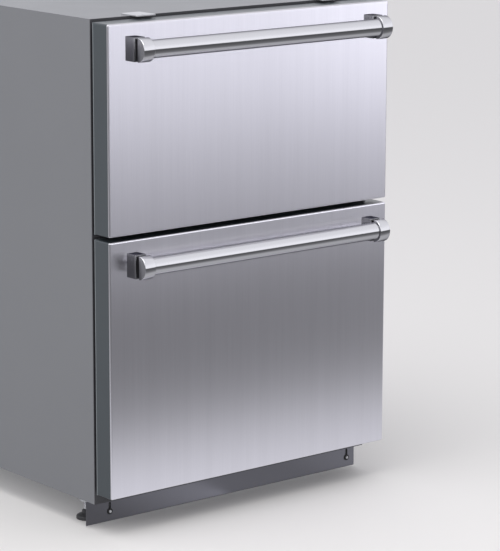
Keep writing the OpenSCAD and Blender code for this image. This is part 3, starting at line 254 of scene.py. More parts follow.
def turned(name, base, stations, axis="Z", sides=24):
    """A turned piece: rings of (radius, height) drawn out one from another along an axis"""
    deselect()
    radius, height = stations[0]
    bpy.ops.mesh.primitive_circle_add(vertices=sides, radius=radius, location=(0, 0, height))
    obj = start(name)
    bpy.ops.object.mode_set(mode="EDIT")
    bpy.ops.mesh.select_all(action="SELECT")
    for (radius, height), (wider, higher) in zip(stations, stations[1:]):
        bpy.ops.mesh.extrude_edges_move(TRANSFORM_OT_translate={"value": (0, 0, higher - height)})
        bpy.ops.transform.resize(value=(wider / radius, wider / radius, 1), center_override=(0, 0, higher))
    done()
    close_holes(obj)
    obj.location, obj.rotation_euler = base, AXES[axis]
    return start(name)


def framed(name, lo, hi, stations):
    """A frame in x and z: its section is drawn out through stations of (inset from the edge, y)"""
    deselect()
    middle, size = (Vector(lo) + Vector(hi)) / 2, Vector(hi) - Vector(lo)
    bpy.ops.mesh.primitive_plane_add(size=1, location=(middle.x, stations[0][1], middle.z), rotation=AXES["-Y"])
    bpy.context.object.scale = (size.x, size.z, 1)
    obj = start(name)
    pick(obj, "FACE", lambda f: True)
    bpy.ops.mesh.delete(type="ONLY_FACE")
    bpy.ops.mesh.select_mode(type="EDGE")
    bpy.ops.mesh.select_all(action="SELECT")
    for (inset, y), (further, back) in zip(stations, stations[1:]):
        bpy.ops.mesh.extrude_edges_move(TRANSFORM_OT_translate={"value": (0, back - y, 0)})
        scale = [(side - 2 * further) / (side - 2 * inset) for side in (size.x, size.z)]
        bpy.ops.transform.resize(value=(scale[0], 1, scale[1]), center_override=(middle.x, back, middle.z))
    done()
    tidy_normals(obj)
    return obj


def turn_about(obj, centre, axis, angle, name):
    """A copy with its own mesh, turned about a line through a centre"""
    twin = copy_to(obj, (0, 0, 0), name)
    twin.data.transform(Matrix.Translation(centre) @ Matrix.Rotation(angle, 4, axis)
                        @ Matrix.Translation(-Vector(centre)))
    return twin


def bend_points(points, radius, steps=6):
    """A route whose corners are rounded; radius is a length, or (diameter,) to bend as a tube is bent"""
    points = [Vector(p) for p in points]
    route = [points[0]]
    for before, at, after in zip(points, points[1:], points[2:]):
        along, onward = (at - before).normalized(), (after - at).normalized()
        turn = along.angle(onward)
        reach = 0.45 * min((at - before).length, (after - at).length) / math.tan(turn / 2)
        r = radius[0] * max(0.55, min(1.6, reach / radius[0])) if isinstance(radius, tuple) else radius
        inward = (onward - along * math.cos(turn)) / math.sin(turn)
        first = at - along * r * math.tan(turn / 2)
        for i in range(steps + 1):
            a = turn * i / steps
            route.append(first + inward * r * (1 - math.cos(a)) + along * r * math.sin(a))
    return route + [points[-1]]


def bent_tube(name, route, diameter, sides=3):
    """A tube along a route"""
    deselect()
    line = bpy.data.curves.new(name, "CURVE")
    line.dimensions, line.bevel_depth, line.bevel_resolution, line.use_fill_caps = "3D", diameter / 2, sides, True
    spline = line.splines.new("POLY")
    spline.points.add(len(route) - 1)
    for point, at in zip(spline.points, route):
        point.co = (*at, 1)
    obj = bpy.data.objects.new(name, line)
    bpy.context.scene.collection.objects.link(obj)
    only(obj)
    bpy.ops.object.convert(target="MESH")
    obj = bpy.context.object
    obj.data.materials.clear()
    return obj


def thread(name, base, crest, root, pitch, turns, steps=20):
    """A screw thread about z, from one turn's profile"""
    deselect()
    bpy.ops.mesh.primitive_circle_add(vertices=3, radius=crest)
    obj = start(name)
    pick(obj, "EDGE", lambda e: e.index == 2)
    bpy.ops.mesh.delete(type="EDGE_FACE")
    done()
    ends = [v for v in obj.data.vertices if sum(v.index in e.vertices for e in obj.data.edges) == 1]
    for vertex in obj.data.vertices:
        vertex.co = (crest, 0, pitch / 2)
    for vertex, height in zip(ends, (0, pitch)):
        vertex.co = (root, 0, height)
    give(obj, "SCREW", axis="Z", angle=2 * math.pi, screw_offset=pitch, iterations=turns, steps=steps,
         render_steps=steps, use_smooth_shade=False)
    tidy_normals(obj)
    close_holes(obj)
    obj.location = base
    return start(name)


def paint(obj, test, index):
    """Gives the faces that pass a test another of the piece's materials"""
    for face in obj.data.polygons:
        if test(face):
            face.material_index = index


def give_finish(obj, *names):
    for name in names:
        obj.data.materials.append(finish[name])


def dress(obj, body, slot, *replaced):
    """Says which body a piece moves with and which nodes it stands for; slot is not used"""
    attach(obj, body)
    if replaced:
        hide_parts(*replaced)


def put_together(name, made, angle, finishes, body, slot, *replaced):
    """Smooths and joins the parts of a piece; made pairs each with the number of its finish"""
    for part, number in made:
        smooth(part, angle)
        give_finish(part, *finishes)
        paint(part, lambda f: True, number)
    dress(join(name, [part for part, number in made]), body, slot, *replaced)


# ---- Shader helpers and shared effects ----

VECTOR, FLOAT, COLOR = "NodeSocketVector", "NodeSocketFloat", "NodeSocketColor"


def feed(tree, node, inputs):
    """Gives a shader node's inputs their values, and links those that take a socket"""
    for key, value in inputs.items():
        if isinstance(value, bpy.types.NodeSocket):
            tree.links.new(value, node.inputs[key])
        else:
            node.inputs[key].default_value = value


def put(tree, kind, inputs, **settings):
    """Adds a shader node and returns its outputs"""
    node = tree.nodes.new(kind)
    for key, value in settings.items():
        setattr(node, key, value)
    feed(tree, node, inputs)
    return node.outputs


def scaled(tree, color, factor):
    """A colour made darker or paler by a factor"""
    return put(tree, "ShaderNodeVectorMath", {0: color, "Scale": factor}, operation="SCALE")[0]


def new_group(name, inputs, outputs):
    group = bpy.data.node_groups.new(name, "ShaderNodeTree")
    for label, kind, value in inputs:
        socket = group.interface.new_socket(name=label, in_out="INPUT", socket_type=kind)
        if value is not None:
            socket.default_value = value
    for label, kind in outputs:
        group.interface.new_socket(name=label, in_out="OUTPUT", socket_type=kind)
    return group, put(group, "NodeGroupInput", {}), group.nodes.new("NodeGroupOutput")


def grain_group():
    """Fine brushed lines along one direction"""
    group, given, out = new_group("Brushed grain",
                                  [("Vector", VECTOR, None), ("Line scale", VECTOR, (700, 700, 7)),
                                   ("Band scale", VECTOR, (60, 60, 1.5))],
                                  [("Lines", FLOAT), ("Height", FLOAT)])
    tones = []
    for scale, detail in (("Line scale", 3), ("Band scale", 2)):
        place = put(group, "ShaderNodeVectorMath", {0: given["Vector"], 1: given[scale]}, operation="MULTIPLY")
        tones.append(put(group, "ShaderNodeTexNoise", {"Vector": place[0], "Scale": 1, "Detail": detail})[0])
    lines = put(group, "ShaderNodeMix", {0: 0.45, 2: tones[0], 3: tones[1]})
    feed(group, out, {"Lines": lines[0], "Height": tones[0]})
    return group


def drift_group():
    """Slow drifts of tone and gloss, as handling and cleaning leave"""
    group, given, out = new_group("Drift",
                                  [("Vector", VECTOR, None), ("Color", COLOR, (0.5, 0.5, 0.5, 1)),
                                   ("Scale", FLOAT, 4), ("Amount", FLOAT, 0.06),
                                   ("Gloss", FLOAT, 0.3), ("Gloss change", FLOAT, 0.06)],
                                  [("Color", COLOR), ("Roughness", FLOAT)])
    noise = put(group, "ShaderNodeTexNoise", {"Vector": given["Vector"], "Scale": given["Scale"], "Detail": 4})
    centre = put(group, "ShaderNodeMath", {0: noise[0], 1: 0.5}, operation="SUBTRACT")
    tone = put(group, "ShaderNodeMath", {0: centre[0], 1: given["Amount"], 2: 1}, operation="MULTIPLY_ADD")
    gloss = put(group, "ShaderNodeMath", {0: centre[0], 1: given["Gloss change"], 2: given["Gloss"]},
                operation="MULTIPLY_ADD")
    feed(group, out, {"Color": scaled(group, given["Color"], tone[0]), "Roughness": gloss[0]})
    return group


def skin_group():
    """The fine orange-peel skin of mouldings and enamel"""
    group, given, out = new_group("Moulded skin", [("Vector", VECTOR, None), ("Scale", FLOAT, 900)],
                                  [("Height", FLOAT)])
    noise = put(group, "ShaderNodeTexNoise", {"Vector": given["Vector"], "Scale": given["Scale"], "Detail": 2})
    feed(group, out, {"Height": noise[0]})
    return group


def spangle_group():
    """The crystal pattern of zinc-coated sheet"""
    group, given, out = new_group("Zinc spangle",
                                  [("Vector", VECTOR, None), ("Scale", FLOAT, 160),
                                   ("Color", COLOR, (0.6, 0.6, 0.6, 1)), ("Amount", FLOAT, 0.12)],
                                  [("Color", COLOR), ("Roughness", FLOAT)])
    cells = put(group, "ShaderNodeTexVoronoi", {"Vector": given["Vector"], "Scale": given["Scale"]})
    part = put(group, "ShaderNodeSeparateColor", {0: cells["Color"]})
    tone = put(group, "ShaderNodeMath", {0: part[0], 1: given["Amount"], 2: 0.94}, operation="MULTIPLY_ADD")
    gloss = put(group, "ShaderNodeMapRange", {"Value": part[1], "To Min": 0.34, "To Max": 0.44})
    feed(group, out, {"Color": scaled(group, given["Color"], tone[0]), "Roughness": gloss[0]})
    return group


def eased_group():
    """Edges seen as slightly rounded"""
    group, given, out = new_group("Eased edges", [("Radius", FLOAT, 0.0008)], [("Normal", VECTOR)])
    feed(group, out, {"Normal": put(group, "ShaderNodeBevel", {"Radius": given["Radius"]}, samples=4)[0]})
    return group


GRAIN, DRIFT, SKIN_BUMP, SPANGLE, EASED = grain_group(), drift_group(), skin_group(), spangle_group(), eased_group()


# ---- Finishes ----

def material(name):
    made = bpy.data.materials.new(name)
    made.use_nodes = True
    tree = made.node_tree
    return made, tree, tree.nodes["Principled BSDF"], put(tree, "ShaderNodeTexCoord", {})["Object"]


def use(tree, group, **values):
    """Places a shared effect and returns its outputs"""
    inputs = {key.replace("_", " "): value for key, value in values.items()}
    return put(tree, "ShaderNodeGroup", inputs, node_tree=group)


def bump(tree, shader, height, strength, distance, eased):
    inputs = {"Strength": strength, "Distance": distance, "Height": height}
    if eased:
        inputs["Normal"] = use(tree, EASED, Radius=eased)["Normal"]
    feed(tree, shader, {"Normal": put(tree, "ShaderNodeBump", inputs)[0]})


def brushed(name, color, gloss, lines, bands, depth, contrast, directional=0.0, eased=0.0):
    """Brushed metal: lines is the scale of the finest lines along x, y and z"""
    made, tree, shader, place = material(name)
    grain = use(tree, GRAIN, Vector=place, Line_scale=lines, Band_scale=bands)
    drift = use(tree, DRIFT, Vector=place, Color=(*color, 1), Scale=3, Amount=0.015, Gloss=gloss, Gloss_change=0.02)
    tone = put(tree, "ShaderNodeMapRange", {"Value": grain["Lines"], "From Min": 0.3, "From Max": 0.7,
                                            "To Min": 1 - contrast, "To Max": 1 + contrast})
    feed(tree, shader, {"Metallic": 1, "Anisotropic": directional, "Roughness": drift["Roughness"],
                        "Base Color": scaled(tree, drift["Color"], tone[0])})
    if directional:
        # Upright lines spread what they mirror sideways
        feed(tree, shader, {"Tangent": put(tree, "ShaderNodeTangent", {}, direction_type="RADIAL", axis="Z")[0]})
    bump(tree, shader, grain["Height"], 0.5, depth, eased)
    return made


def moulded(name, color, gloss, scale=900, depth=0.00004, amount=0.1, eased=0.0008, coat=0.0, metallic=0.0):
    """Plastic, rubber or enamel with a fine skin"""
    made, tree, shader, place = material(name)
    drift = use(tree, DRIFT, Vector=place, Color=(*color, 1), Scale=9, Amount=amount, Gloss=gloss, Gloss_change=0.12)
    feed(tree, shader, {"Coat Weight": coat, "Metallic": metallic, "Base Color": drift["Color"],
                        "Roughness": drift["Roughness"]})
    bump(tree, shader, use(tree, SKIN_BUMP, Vector=place, Scale=scale)["Height"], 0.6, depth, eased)
    return made


def metal(name, color, gloss, amount=0.12, scale=30, eased=0.0005):
    """Plain bright or drawn metal"""
    made, tree, shader, place = material(name)
    drift = use(tree, DRIFT, Vector=place, Color=(*color, 1), Scale=scale, Amount=amount, Gloss=gloss,
                Gloss_change=0.1)
    feed(tree, shader, {"Metallic": 1, "Base Color": drift["Color"], "Roughness": drift["Roughness"]})
    if eased:
        feed(tree, shader, {"Normal": use(tree, EASED, Radius=eased)["Normal"]})
    return made


def zinc(name, color):
    made, tree, shader, place = material(name)
    spangle = use(tree, SPANGLE, Vector=place, Color=(*color, 1))
    feed(tree, shader, {"Metallic": 1, "Base Color": spangle["Color"], "Roughness": spangle["Roughness"],
                        "Normal": use(tree, EASED, Radius=0.0006)["Normal"]})
    return made


def glass_lens(name, color):
    made, tree, shader, place = material(name)
    drift = use(tree, DRIFT, Vector=place, Gloss=0.35, Gloss_change=0.1)
    feed(tree, shader, {"Transmission Weight": 0.7, "Base Color": (*color, 1), "Roughness": drift["Roughness"]})
    bump(tree, shader, use(tree, SKIN_BUMP, Vector=place, Scale=600)["Height"], 0.5, 0.0001, 0)
    return made


finish = {
    "brushed_steel": brushed("Brushed front steel", (0.66, 0.652, 0.674), 0.3, (900, 900, 9), (70, 70, 1.2),
                             0.00001, 0.035, 0.8),
    # Posts and the caps' flat sides: brushed satin steel, its tone set far below the fronts' steel as painted shade
    "handle_satin": brushed("Brushed post steel with painted shade", (0.29, 0.29, 0.305), 0.24, (300, 900, 900), (40, 90, 90),
                            0.00002, 0.06),
    "handle_polish": metal("Polished tube", (0.8, 0.8, 0.82), 0.07, 0.03, 6, 0),
    "box_steel": brushed("Drawer box steel", (0.64, 0.64, 0.65), 0.32, (12, 900, 900), (2, 70, 70),
                         0.00002, 0.06, 0, 0.0008),
    "galvanised_steel": zinc("Zinc-coated sheet", (0.6, 0.61, 0.62)),
    "coil_metal": metal("Fin metal", (0.7, 0.71, 0.73), 0.35),
    "copper": metal("Drawn copper", (0.75, 0.42, 0.28), 0.28, 0.3, 60, 0),
    "cage_brass": metal("Cage brass", (0.72, 0.56, 0.25), 0.3),
    "screw_steel": metal("Screw steel", (0.66, 0.66, 0.67), 0.25),
    "cabinet_paint": moulded("Cabinet enamel", (0.17, 0.175, 0.185), 0.4, 1200, 0.00002, 0.06),
    "dark_frame_metal": moulded("Dark frame enamel", (0.05, 0.05, 0.055), 0.4, 1200, 0.00002),
    "kick_paint": moulded("Toe-kick enamel", (0.13, 0.13, 0.142), 0.3, 1200, 0.00002, 0.08, 0.0008, 0, 0.85),
    # The fronts' sides: a dark grey-teal paint, darkened further as painted shade
    "front_side_paint_and_shade": moulded("Front side paint and painted shade", (0.044, 0.054, 0.06), 0.3, 1200, 0.00002, 0.1, 0),
    "black_enamel": moulded("Black enamel", (0.012, 0.012, 0.013), 0.28, 800, 0.00003, 0.2, 0.001, 0.3),
    "insulation_foam": moulded("Rigid foam", (0.74, 0.62, 0.34), 0.9, 350, 0.0006, 0.25),
    "liner_plastic": moulded("White liner", (0.82, 0.82, 0.81), 0.3, 700, 0.00004, 0.04),
    "rubber": moulded("Rubber", (0.035, 0.035, 0.037), 0.75, 500, 0.0001),
    "leg_plastic": moulded("Leg plastic", (0.03, 0.03, 0.032), 0.5, 600, 0.0001),
    "black_plastic": moulded("Black plastic", (0.022, 0.022, 0.024), 0.42, 700, 0.00008),
    "front_back_plastic": moulded("Grey front back", (0.17, 0.19, 0.2), 0.45, 700, 0.00006),
    "gasket_rubber": moulded("Gasket vinyl", (0.04, 0.04, 0.043), 0.6, 500, 0.0001, 0.1, 0.001),
    "button_plastic": moulded("Button plastic", (0.68, 0.68, 0.68), 0.3, 900, 0.00002),
    # The groove between post and cap: painted near-black as its shade
    "groove_black": moulded("Handle groove painted shade", (0.006, 0.006, 0.007), 0.5, 900, 0.00002, 0.1, 0),
    "washer_black": moulded("Black washer", (0.01, 0.01, 0.01), 0.45, 900, 0.00002, 0.1, 0),
    "smoked_window": moulded("Smoked window", (0.008, 0.009, 0.01), 0.12, 300, 0.000005, 0.1, 0.0003, 0.5),
    "lens": glass_lens("Frosted lens", (0.93, 0.93, 0.9)),
}
# Painted shade: handle metal gets a dark edge tint, so where it is seen edge on, as on the posts' tops and outlines, it
# turns dark; the groove, painted near-black as shade, hardly shines
for name, socket, value in (("handle_satin", "Specular Tint", (0.08, 0.08, 0.09, 1)),
                            ("handle_polish", "Specular Tint", (0.08, 0.08, 0.09, 1)),
                            ("groove_black", "Specular IOR Level", 0.08)):
    finish[name].node_tree.nodes["Principled BSDF"].inputs[socket].default_value = value
slots = {part["node"]: part["material_slot"] for part in frame["record"]["subparts"]}
for name, obj in nodes.items():
    obj.data.materials[0] = finish[slots[name]]


# ---- Drawer fronts ----

def front_skin(prefix):
    """Folded pan: its four front edges are bends, its back is open"""
    lo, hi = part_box(prefix + "_front_skin")
    skin = add_block(prefix + "_front_sheet", lo, hi)
    open_side(skin, lambda f: f.normal.y > 0.9)
    round_edges(skin, FRONT_BEND, 6)
    give(skin, "SOLIDIFY", thickness=SKIN, offset=-1, use_even_offset=True)
    smooth(skin, 40)
    give(skin, "WEIGHTED_NORMAL", weight=100, keep_sharp=True)
    give_finish(skin, "brushed_steel", "front_side_paint_and_shade")
    # The sides of the fronts take the dark side finish: their own paint plus painted shade
    paint(skin, lambda f: abs(f.normal.y) < 0.25 and f.center.y > lo.y + FRONT_BEND, 1)
    dress(skin, prefix + "_drawer", "brushed_steel", prefix + "_front_skin")


# ---- Handles ----

def both_ends(prefix, kind, left, lo, hi):
    """Joins a handle's left post or cap and its copy on the right; the fronts don't mirror them"""
    right = copy_to(left, (hi.x - POST_WIDTH - lo.x, 0, 0), "right")
    ends = join(f"{prefix}_{kind}", [left, right])
    ends.visible_glossy = False
    dress(ends, prefix + "_drawer", "handle_satin", f"{prefix}_handle_{kind}")


def handle(prefix):
    post_lo, post_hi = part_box(prefix + "_handle_posts")
    cap_lo, cap_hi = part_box(prefix + "_handle_caps")
    tube_lo, tube_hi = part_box(prefix + "_handle_tube")
    face, neck_front = post_hi.y, post_hi.y - POST_DEPTH
    x, y, z = (tube_lo + tube_hi) / 2
    # Square post with a narrower neck, painted near-black as shade in the groove
    post = add_block("post", (post_lo.x, neck_front, post_lo.z), (post_lo.x + POST_WIDTH, face, post_hi.z))
    round_edges(post, HANDLE_EASE, 3, lambda e: not lies_at(e, Y, face))
    push(post, lambda f: f.normal.y < -0.99, NECK_INSET - HANDLE_EASE, (0, -NECK_DEPTH, 0))
    smooth(post)
    give_finish(post, "handle_satin", "groove_black")
    paint(post, lambda f: f.center.y < neck_front - NEAR, 1)
    both_ends(prefix, "posts", post, post_lo, post_hi)
    # Half-round end cap
    cap = add_round("cap", (cap_lo.x + POST_WIDTH / 2, y, z), CAP_RADIUS, POST_WIDTH, "X", 96)
    cut(cap, neck_front - NECK_DEPTH, drop=True)
    round_edges(cap, HANDLE_EASE, 3)
    smooth(cap)
    give_finish(cap, "handle_polish", "handle_satin")
    # The cap's flat sides take the darker satin steel, painted shade included
    paint(cap, lambda f: abs(f.normal.x) > 0.9, 1)
    both_ends(prefix, "caps", cap, cap_lo, cap_hi)
    # Tube between the posts, seated in both
    tube = add_round(prefix + "_tube", (x, y, z), (tube_hi.z - tube_lo.z) / 2, tube_hi.x - tube_lo.x, "X", 128,
                     "NOTHING")
    give(tube, "SOLIDIFY", thickness=TUBE_WALL, offset=-1)
    smooth(tube)
    give_finish(tube, "handle_polish")
    tube.visible_glossy = prefix == "lower"
    dress(tube, prefix + "_drawer", "handle_polish", prefix + "_handle_tube")


for prefix in ("upper", "lower"):
    front_skin(prefix)
    handle(prefix)


# ---- Levelling legs ----

def levelling_leg(side):
    """A knurled foot, a hexagon for the spanner and a threaded stud"""
    lo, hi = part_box("leg_" + side)
    base, rim, pitch = Vector(((lo.x + hi.x) / 2, (lo.y + hi.y) / 2, lo.z)), 18 * MM, 1.5 * MM
    foot = turned("foot", base, mm((16.6, 0), (17.6, 0.4), (18, 1.2), (18, 5), (17.4, 6), (14.6, 8), (12.6, 8.4),
                                   (10.5, 8.6), (9.2, 9.4), (8, 9.6)), sides=72)
    # Every other edge of the rim is pressed in
    for vertex in foot.data.vertices:
        out = vertex.co.xy - base.xy
        if out.length > rim - 0.1 * MM and round(math.degrees(math.atan2(out.y, out.x)) / 5) % 2:
            vertex.co.xy = base.xy + out * 0.965
    nut = turned("nut", base, mm((7.6, 8.8), (8.5, 9.4), (8.5, 15.4), (7.6, 16)), sides=6)
    turns = int((hi.z - lo.z - 15 * MM) / pitch)
    stud = thread("stud", (base.x, base.y, hi.z - turns * pitch), 5 * MM, 4.3 * MM, pitch, turns)
    put_together("levelling_leg_" + side, [(foot, 0), (nut, 0), (stud, 1)], 40, ("leg_plastic", "screw_steel"),
                 side + "_leg", "leg_plastic", "leg_" + side)


for side in ("front_left", "front_right", "rear_left", "rear_right"):
    levelling_leg(side)


# ---- Machine bay ----

POT_RADIUS, POT_DOME, POT_HEIGHT = 75 * MM, 34 * MM, 150 * MM
PLATE_LENGTH, PLATE_WIDTH, FOOT_PLATE = 170 * MM, 120 * MM, 3 * MM


def arc(centre, height, radius, first, last, steps=8):
    """Stations of a turned piece round a fillet"""
    return [(centre + radius * math.cos(a), height + radius * math.sin(a))
            for a in (math.radians(first + (last - first) * i / steps) for i in range(steps + 1))]


def compressor():
    """Domed pot with a rolled seam on a foot plate with four nuts, a terminal cover and two stubs"""
    lo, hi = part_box("compressor")
    x, y, z = lo.x + PLATE_LENGTH / 2, (lo.y + hi.y) / 2, lo.z + FOOT_PLATE
    seam, inner, lid = z + POT_HEIGHT * 0.55, POT_RADIUS - POT_DOME, 1.2 * MM
    pot = turned("pot", (x, y, 0), [(2 * MM, z - 1 * MM)] + arc(inner, z + POT_DOME, POT_DOME, -90, 0)
                 + [(POT_RADIUS, seam - 1 * MM)] + arc(POT_RADIUS + 0.5 * MM, seam + 2.5 * MM, 2.5 * MM, -80, 80, 6)
                 + [(POT_RADIUS - lid, seam + 6 * MM)] + arc(inner - lid, hi.z - POT_DOME, POT_DOME, 0, 90)
                 + [(30 * MM, hi.z), (28 * MM, hi.z - 1 * MM), (2 * MM, hi.z - 1 * MM)], sides=96)
    plate = add_block("plate", (lo.x, y - PLATE_WIDTH / 2, lo.z), (lo.x + PLATE_LENGTH, y + PLATE_WIDTH / 2, z))
    round_edges(plate, 12 * MM, 6, lambda e: runs(e, Z))
    push(plate, lambda f: f.normal.z > 0.9, 4 * MM, (0, 0, -0.8 * MM))
    round_edges(plate, 0.5 * MM, 2)
    cover = add_block("cover", (x + POT_RADIUS - 10 * MM, y - 26 * MM, z + 30 * MM), (hi.x, y + 26 * MM, z + 74 * MM))
    round_edges(cover, 5 * MM, 4, lambda e: runs(e, X))
    round_edges(cover, 2 * MM, 3, lambda e: past(e, X, hi.x - 0.1 * MM))
    push(cover, lambda f: f.normal.x > 0.99, 6 * MM, (-1 * MM, 0, 0))
    made = [(pot, 0), (plate, 0), (cover, 2)]
    for height in (24 * MM, 62 * MM):
        made.append((turned("stub", (x + POT_RADIUS - 30 * MM, y + 40 * MM, z + height),
                            mm((5.6, 0), (5.6, 22), (4.5, 25), (4.5, 33), (4, 34)), "X"), 0))
    nut_x, nut_y = 71 * MM, 46 * MM
    for side in (-1, 1):
        for end in (-1, 1):
            at = (x + side * nut_x, y + end * nut_y, z)
            made += [(turned("washer", at, mm((8, 0), (9, 0.2), (9, 1.2), (8.6, 1.5), (4, 1.5)), sides=32), 1),
                     (turned("nut", at, mm((6.4, 1.4), (7.4, 2), (7.4, 6.4), (6.4, 7), (4, 7)), sides=6), 1),
                     (turned("stud", at, mm((4, 5), (4, 8.6), (3.4, 9.2))), 1)]
    put_together("compressor_shell", made, 35, ("black_enamel", "screw_steel", "black_plastic"),
                 "cabinet", "black_enamel", "compressor")


def refrigerant_lines():
    """Discharge, liquid, capillary and suction lines, with the filter-drier"""
    pot_z, stub_x, stub_y, riser_x = 65, -86, 272.5, -64
    coil_x, coil_z, front_row, back_row = 34, 74, 278.5, 300.5
    low_z, drier_x, drier_y, drier_z, drier_l = 57, -28, 167.5, 118, 62
    bay_z, first_z, last_z, coil_end, coil_y = 278, 457.2, 577.2, -196, 262.3
    suction_x, capillary_x, sleeve_y = -32, -39.5, 280.3
    lines = [
        (5, mm((stub_x, stub_y, pot_z + 24), (riser_x, stub_y, pot_z + 24), (riser_x, front_row, coil_z),
               (coil_x, front_row, coil_z))),
        (5, mm((coil_x, back_row, coil_z), (coil_x - 10, back_row, coil_z), (coil_x - 10, back_row, low_z),
               (coil_x - 10, drier_y, low_z), (drier_x, drier_y, low_z), (drier_x, drier_y, drier_z + 1))),
        (3, mm((drier_x, drier_y, drier_z + drier_l + 19), (drier_x, drier_y, bay_z - 14),
               (capillary_x, sleeve_y, bay_z - 14), (capillary_x, sleeve_y, first_z - 38),
               (coil_end - 18, coil_y, first_z - 38), (coil_end - 18, coil_y, last_z), (coil_end, coil_y, last_z))),
        (7, mm((coil_end, coil_y, first_z), (coil_end - 9, coil_y, first_z), (coil_end - 9, coil_y, first_z - 26),
               (suction_x, sleeve_y, first_z - 26), (suction_x, sleeve_y, pot_z + 62), (suction_x, stub_y, pot_z + 62),
               (stub_x, stub_y, pot_z + 62))),
    ]
    made = [bent_tube("line", bend_points(route, (d * MM,)), d * MM, 4) for d, route in lines]
    # Filter-drier with rolled shoulders and two crimps
    body = [(3, 0), (3.4, 2), (8.2, 9), (9, 11), (9, 22), (8.5, 23), (8.5, 24.5), (9, 25.5), (9, 56), (8.5, 57),
            (8.5, 58.5), (9, 59.5), (9, 71), (8.2, 73), (3.4, 80), (3, 82)]
    made.append(turned("drier", mm((drier_x, drier_y, drier_z))[0], mm(*body), sides=40))
    # Brazed sleeves where lines meet the coil and the compressor
    for d, at in ((5, (coil_x - 4, front_row, coil_z)), (5, (coil_x - 4, back_row, coil_z)),
                  (7, (stub_x - 1, stub_y, pot_z + 62)), (5, (stub_x - 1, stub_y, pot_z + 24))):
        r = d / 2
        made.append(turned("sleeve", mm(at)[0], mm((r + 0.2, 0), (r + 0.9, 0.6), (r + 0.9, 7), (r + 0.2, 8)), "X"))
    put_together("copper_lines", [(part, 0) for part in made], 50, ("copper",),
                 "cabinet", "copper", "refrigerant_lines")


def condenser():
    """Two rows of copper passes through rippled fins, held by flanged end plates"""
    lo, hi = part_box("condenser_coil")
    left, right, first, pitch, passes, fins, strips = 34 * MM, 246 * MM, 74 * MM, 25 * MM, 7, 26, 8
    rows, row_bend, free = (278.5 * MM, 300.5 * MM), 11 * MM, 0.01 * MM
    bottom, top = first - pitch / 2, first + (passes - 0.5) * pitch
    ends = (right + pitch / 2, left - pitch / 2)
    up = [(left, rows[0], first)]
    for i in range(passes - 1):
        up += [(ends[i % 2], rows[0], first + i * pitch), (ends[i % 2], rows[0], first + (i + 1) * pitch)]
    last = first + (passes - 1) * pitch
    down = [(x, rows[1], z) for x, y, z in reversed(up)]
    climb = bend_points(up + [(right, rows[0], last)], pitch / 2 - free)
    over = bend_points([(right, rows[0], last), (right + row_bend, rows[0], last), (right + row_bend, rows[1], last),
                        (right, rows[1], last)], row_bend - free)
    back = bend_points([(right, rows[1], last)] + down, pitch / 2 - free)
    tubes = bent_tube("passes", climb[:-1] + over[:-1] + back, 8 * MM, 3)
    fin = add_block("fin", (43.5 * MM, lo.y, bottom), (44.1 * MM, hi.y, top))
    cut_strips(fin, lo, hi, strips)
    for vertex in fin.data.vertices:
        vertex.co.x += 0.7 * MM * (1 if round((vertex.co.y - lo.y) / (hi.y - lo.y) * strips) % 2 else -1)
    give(fin, "ARRAY", count=fins, use_relative_offset=False, use_constant_offset=True,
         constant_offset_displace=(200 * MM / fins, 0, 0))
    made, sheet, flange = [(tubes, 1), (fin, 0)], 1.5 * MM, 7 * MM
    for side, x in ((-1, 37 * MM), (1, 243 * MM)):
        out = x + side * flange
        for piece in (add_block("plate", (x - sheet / 2, lo.y, lo.z), (x + sheet / 2, hi.y, top)),
                      add_block("rim", (min(x, out), lo.y, lo.z), (max(x, out), hi.y, lo.z + sheet))):
            round_edges(piece, 0.4 * MM, 2)
            made.append((piece, 2))
    put_together("finned_condenser", made, 35, ("coil_metal", "copper", "galvanised_steel"),
                 "cabinet", "coil_metal", "condenser_coil")


def fan_wheel(fan, x, z, tip, hub, bore, blades=5):
    """Swept blades on a domed hub"""
    lo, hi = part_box(fan + "_blade")
    depth, root, sheet = hi.y - lo.y, hub * 0.93, 1.5 * MM
    centre = (x, (lo.y + hi.y) / 2, z)
    deselect()
    bpy.ops.mesh.primitive_grid_add(x_subdivisions=10, y_subdivisions=10, size=2)
    blade = start("blade")
    for vertex in blade.data.vertices:
        out, chord = (vertex.co.x + 1) / 2, vertex.co.y
        r = root + (tip * 0.985 - root) * out
        width = math.radians(24 + 5 * out) * math.sqrt(1 - 0.45 * max(0, (out - 0.75) / 0.25) ** 2)
        a = width * chord + math.radians(8) * out ** 2
        along = (depth / 2 - 1.4 * MM) * (chord * (1 - 0.2 * out) + 0.22 * (1 - chord ** 2))
        vertex.co = (x + r * math.cos(a), centre[Y] + along, z + r * math.sin(a))
    give(blade, "SOLIDIFY", thickness=sheet, offset=0)
    tidy_normals(blade)
    core = turned("hub", (x, centre[Y] - depth / 2, z),
                  [(bore, depth * 0.05), (hub - 4 * MM, depth * 0.05), (hub - 1.2 * MM, depth * 0.1),
                   (hub, depth * 0.22), (hub, depth - 0.6 * MM), (hub - 0.6 * MM, depth), (hub * 0.8, depth),
                   (hub * 0.74, depth - 2 * MM), (bore + 3 * MM, depth - 2 * MM), (bore + 2.4 * MM, depth),
                   (bore, depth)], "Y", 48)
    made = [core, blade] + [turn_about(blade, centre, "Y", 2 * math.pi * i / blades, "blade") for i in range(1, blades)]
    put_together(fan + "_wheel", [(part, 0) for part in made], 40, ("liner_plastic",),
                 fan, "liner_plastic", fan + "_blade")


compressor()
refrigerant_lines()
condenser()
fan_wheel("condenser_fan", 140 * MM, 163 * MM, 62 * MM, 17 * MM, 3.05 * MM)
fan_wheel("evaporator_fan", 0, 636.2 * MM, 39 * MM, 11 * MM, 2.05 * MM)


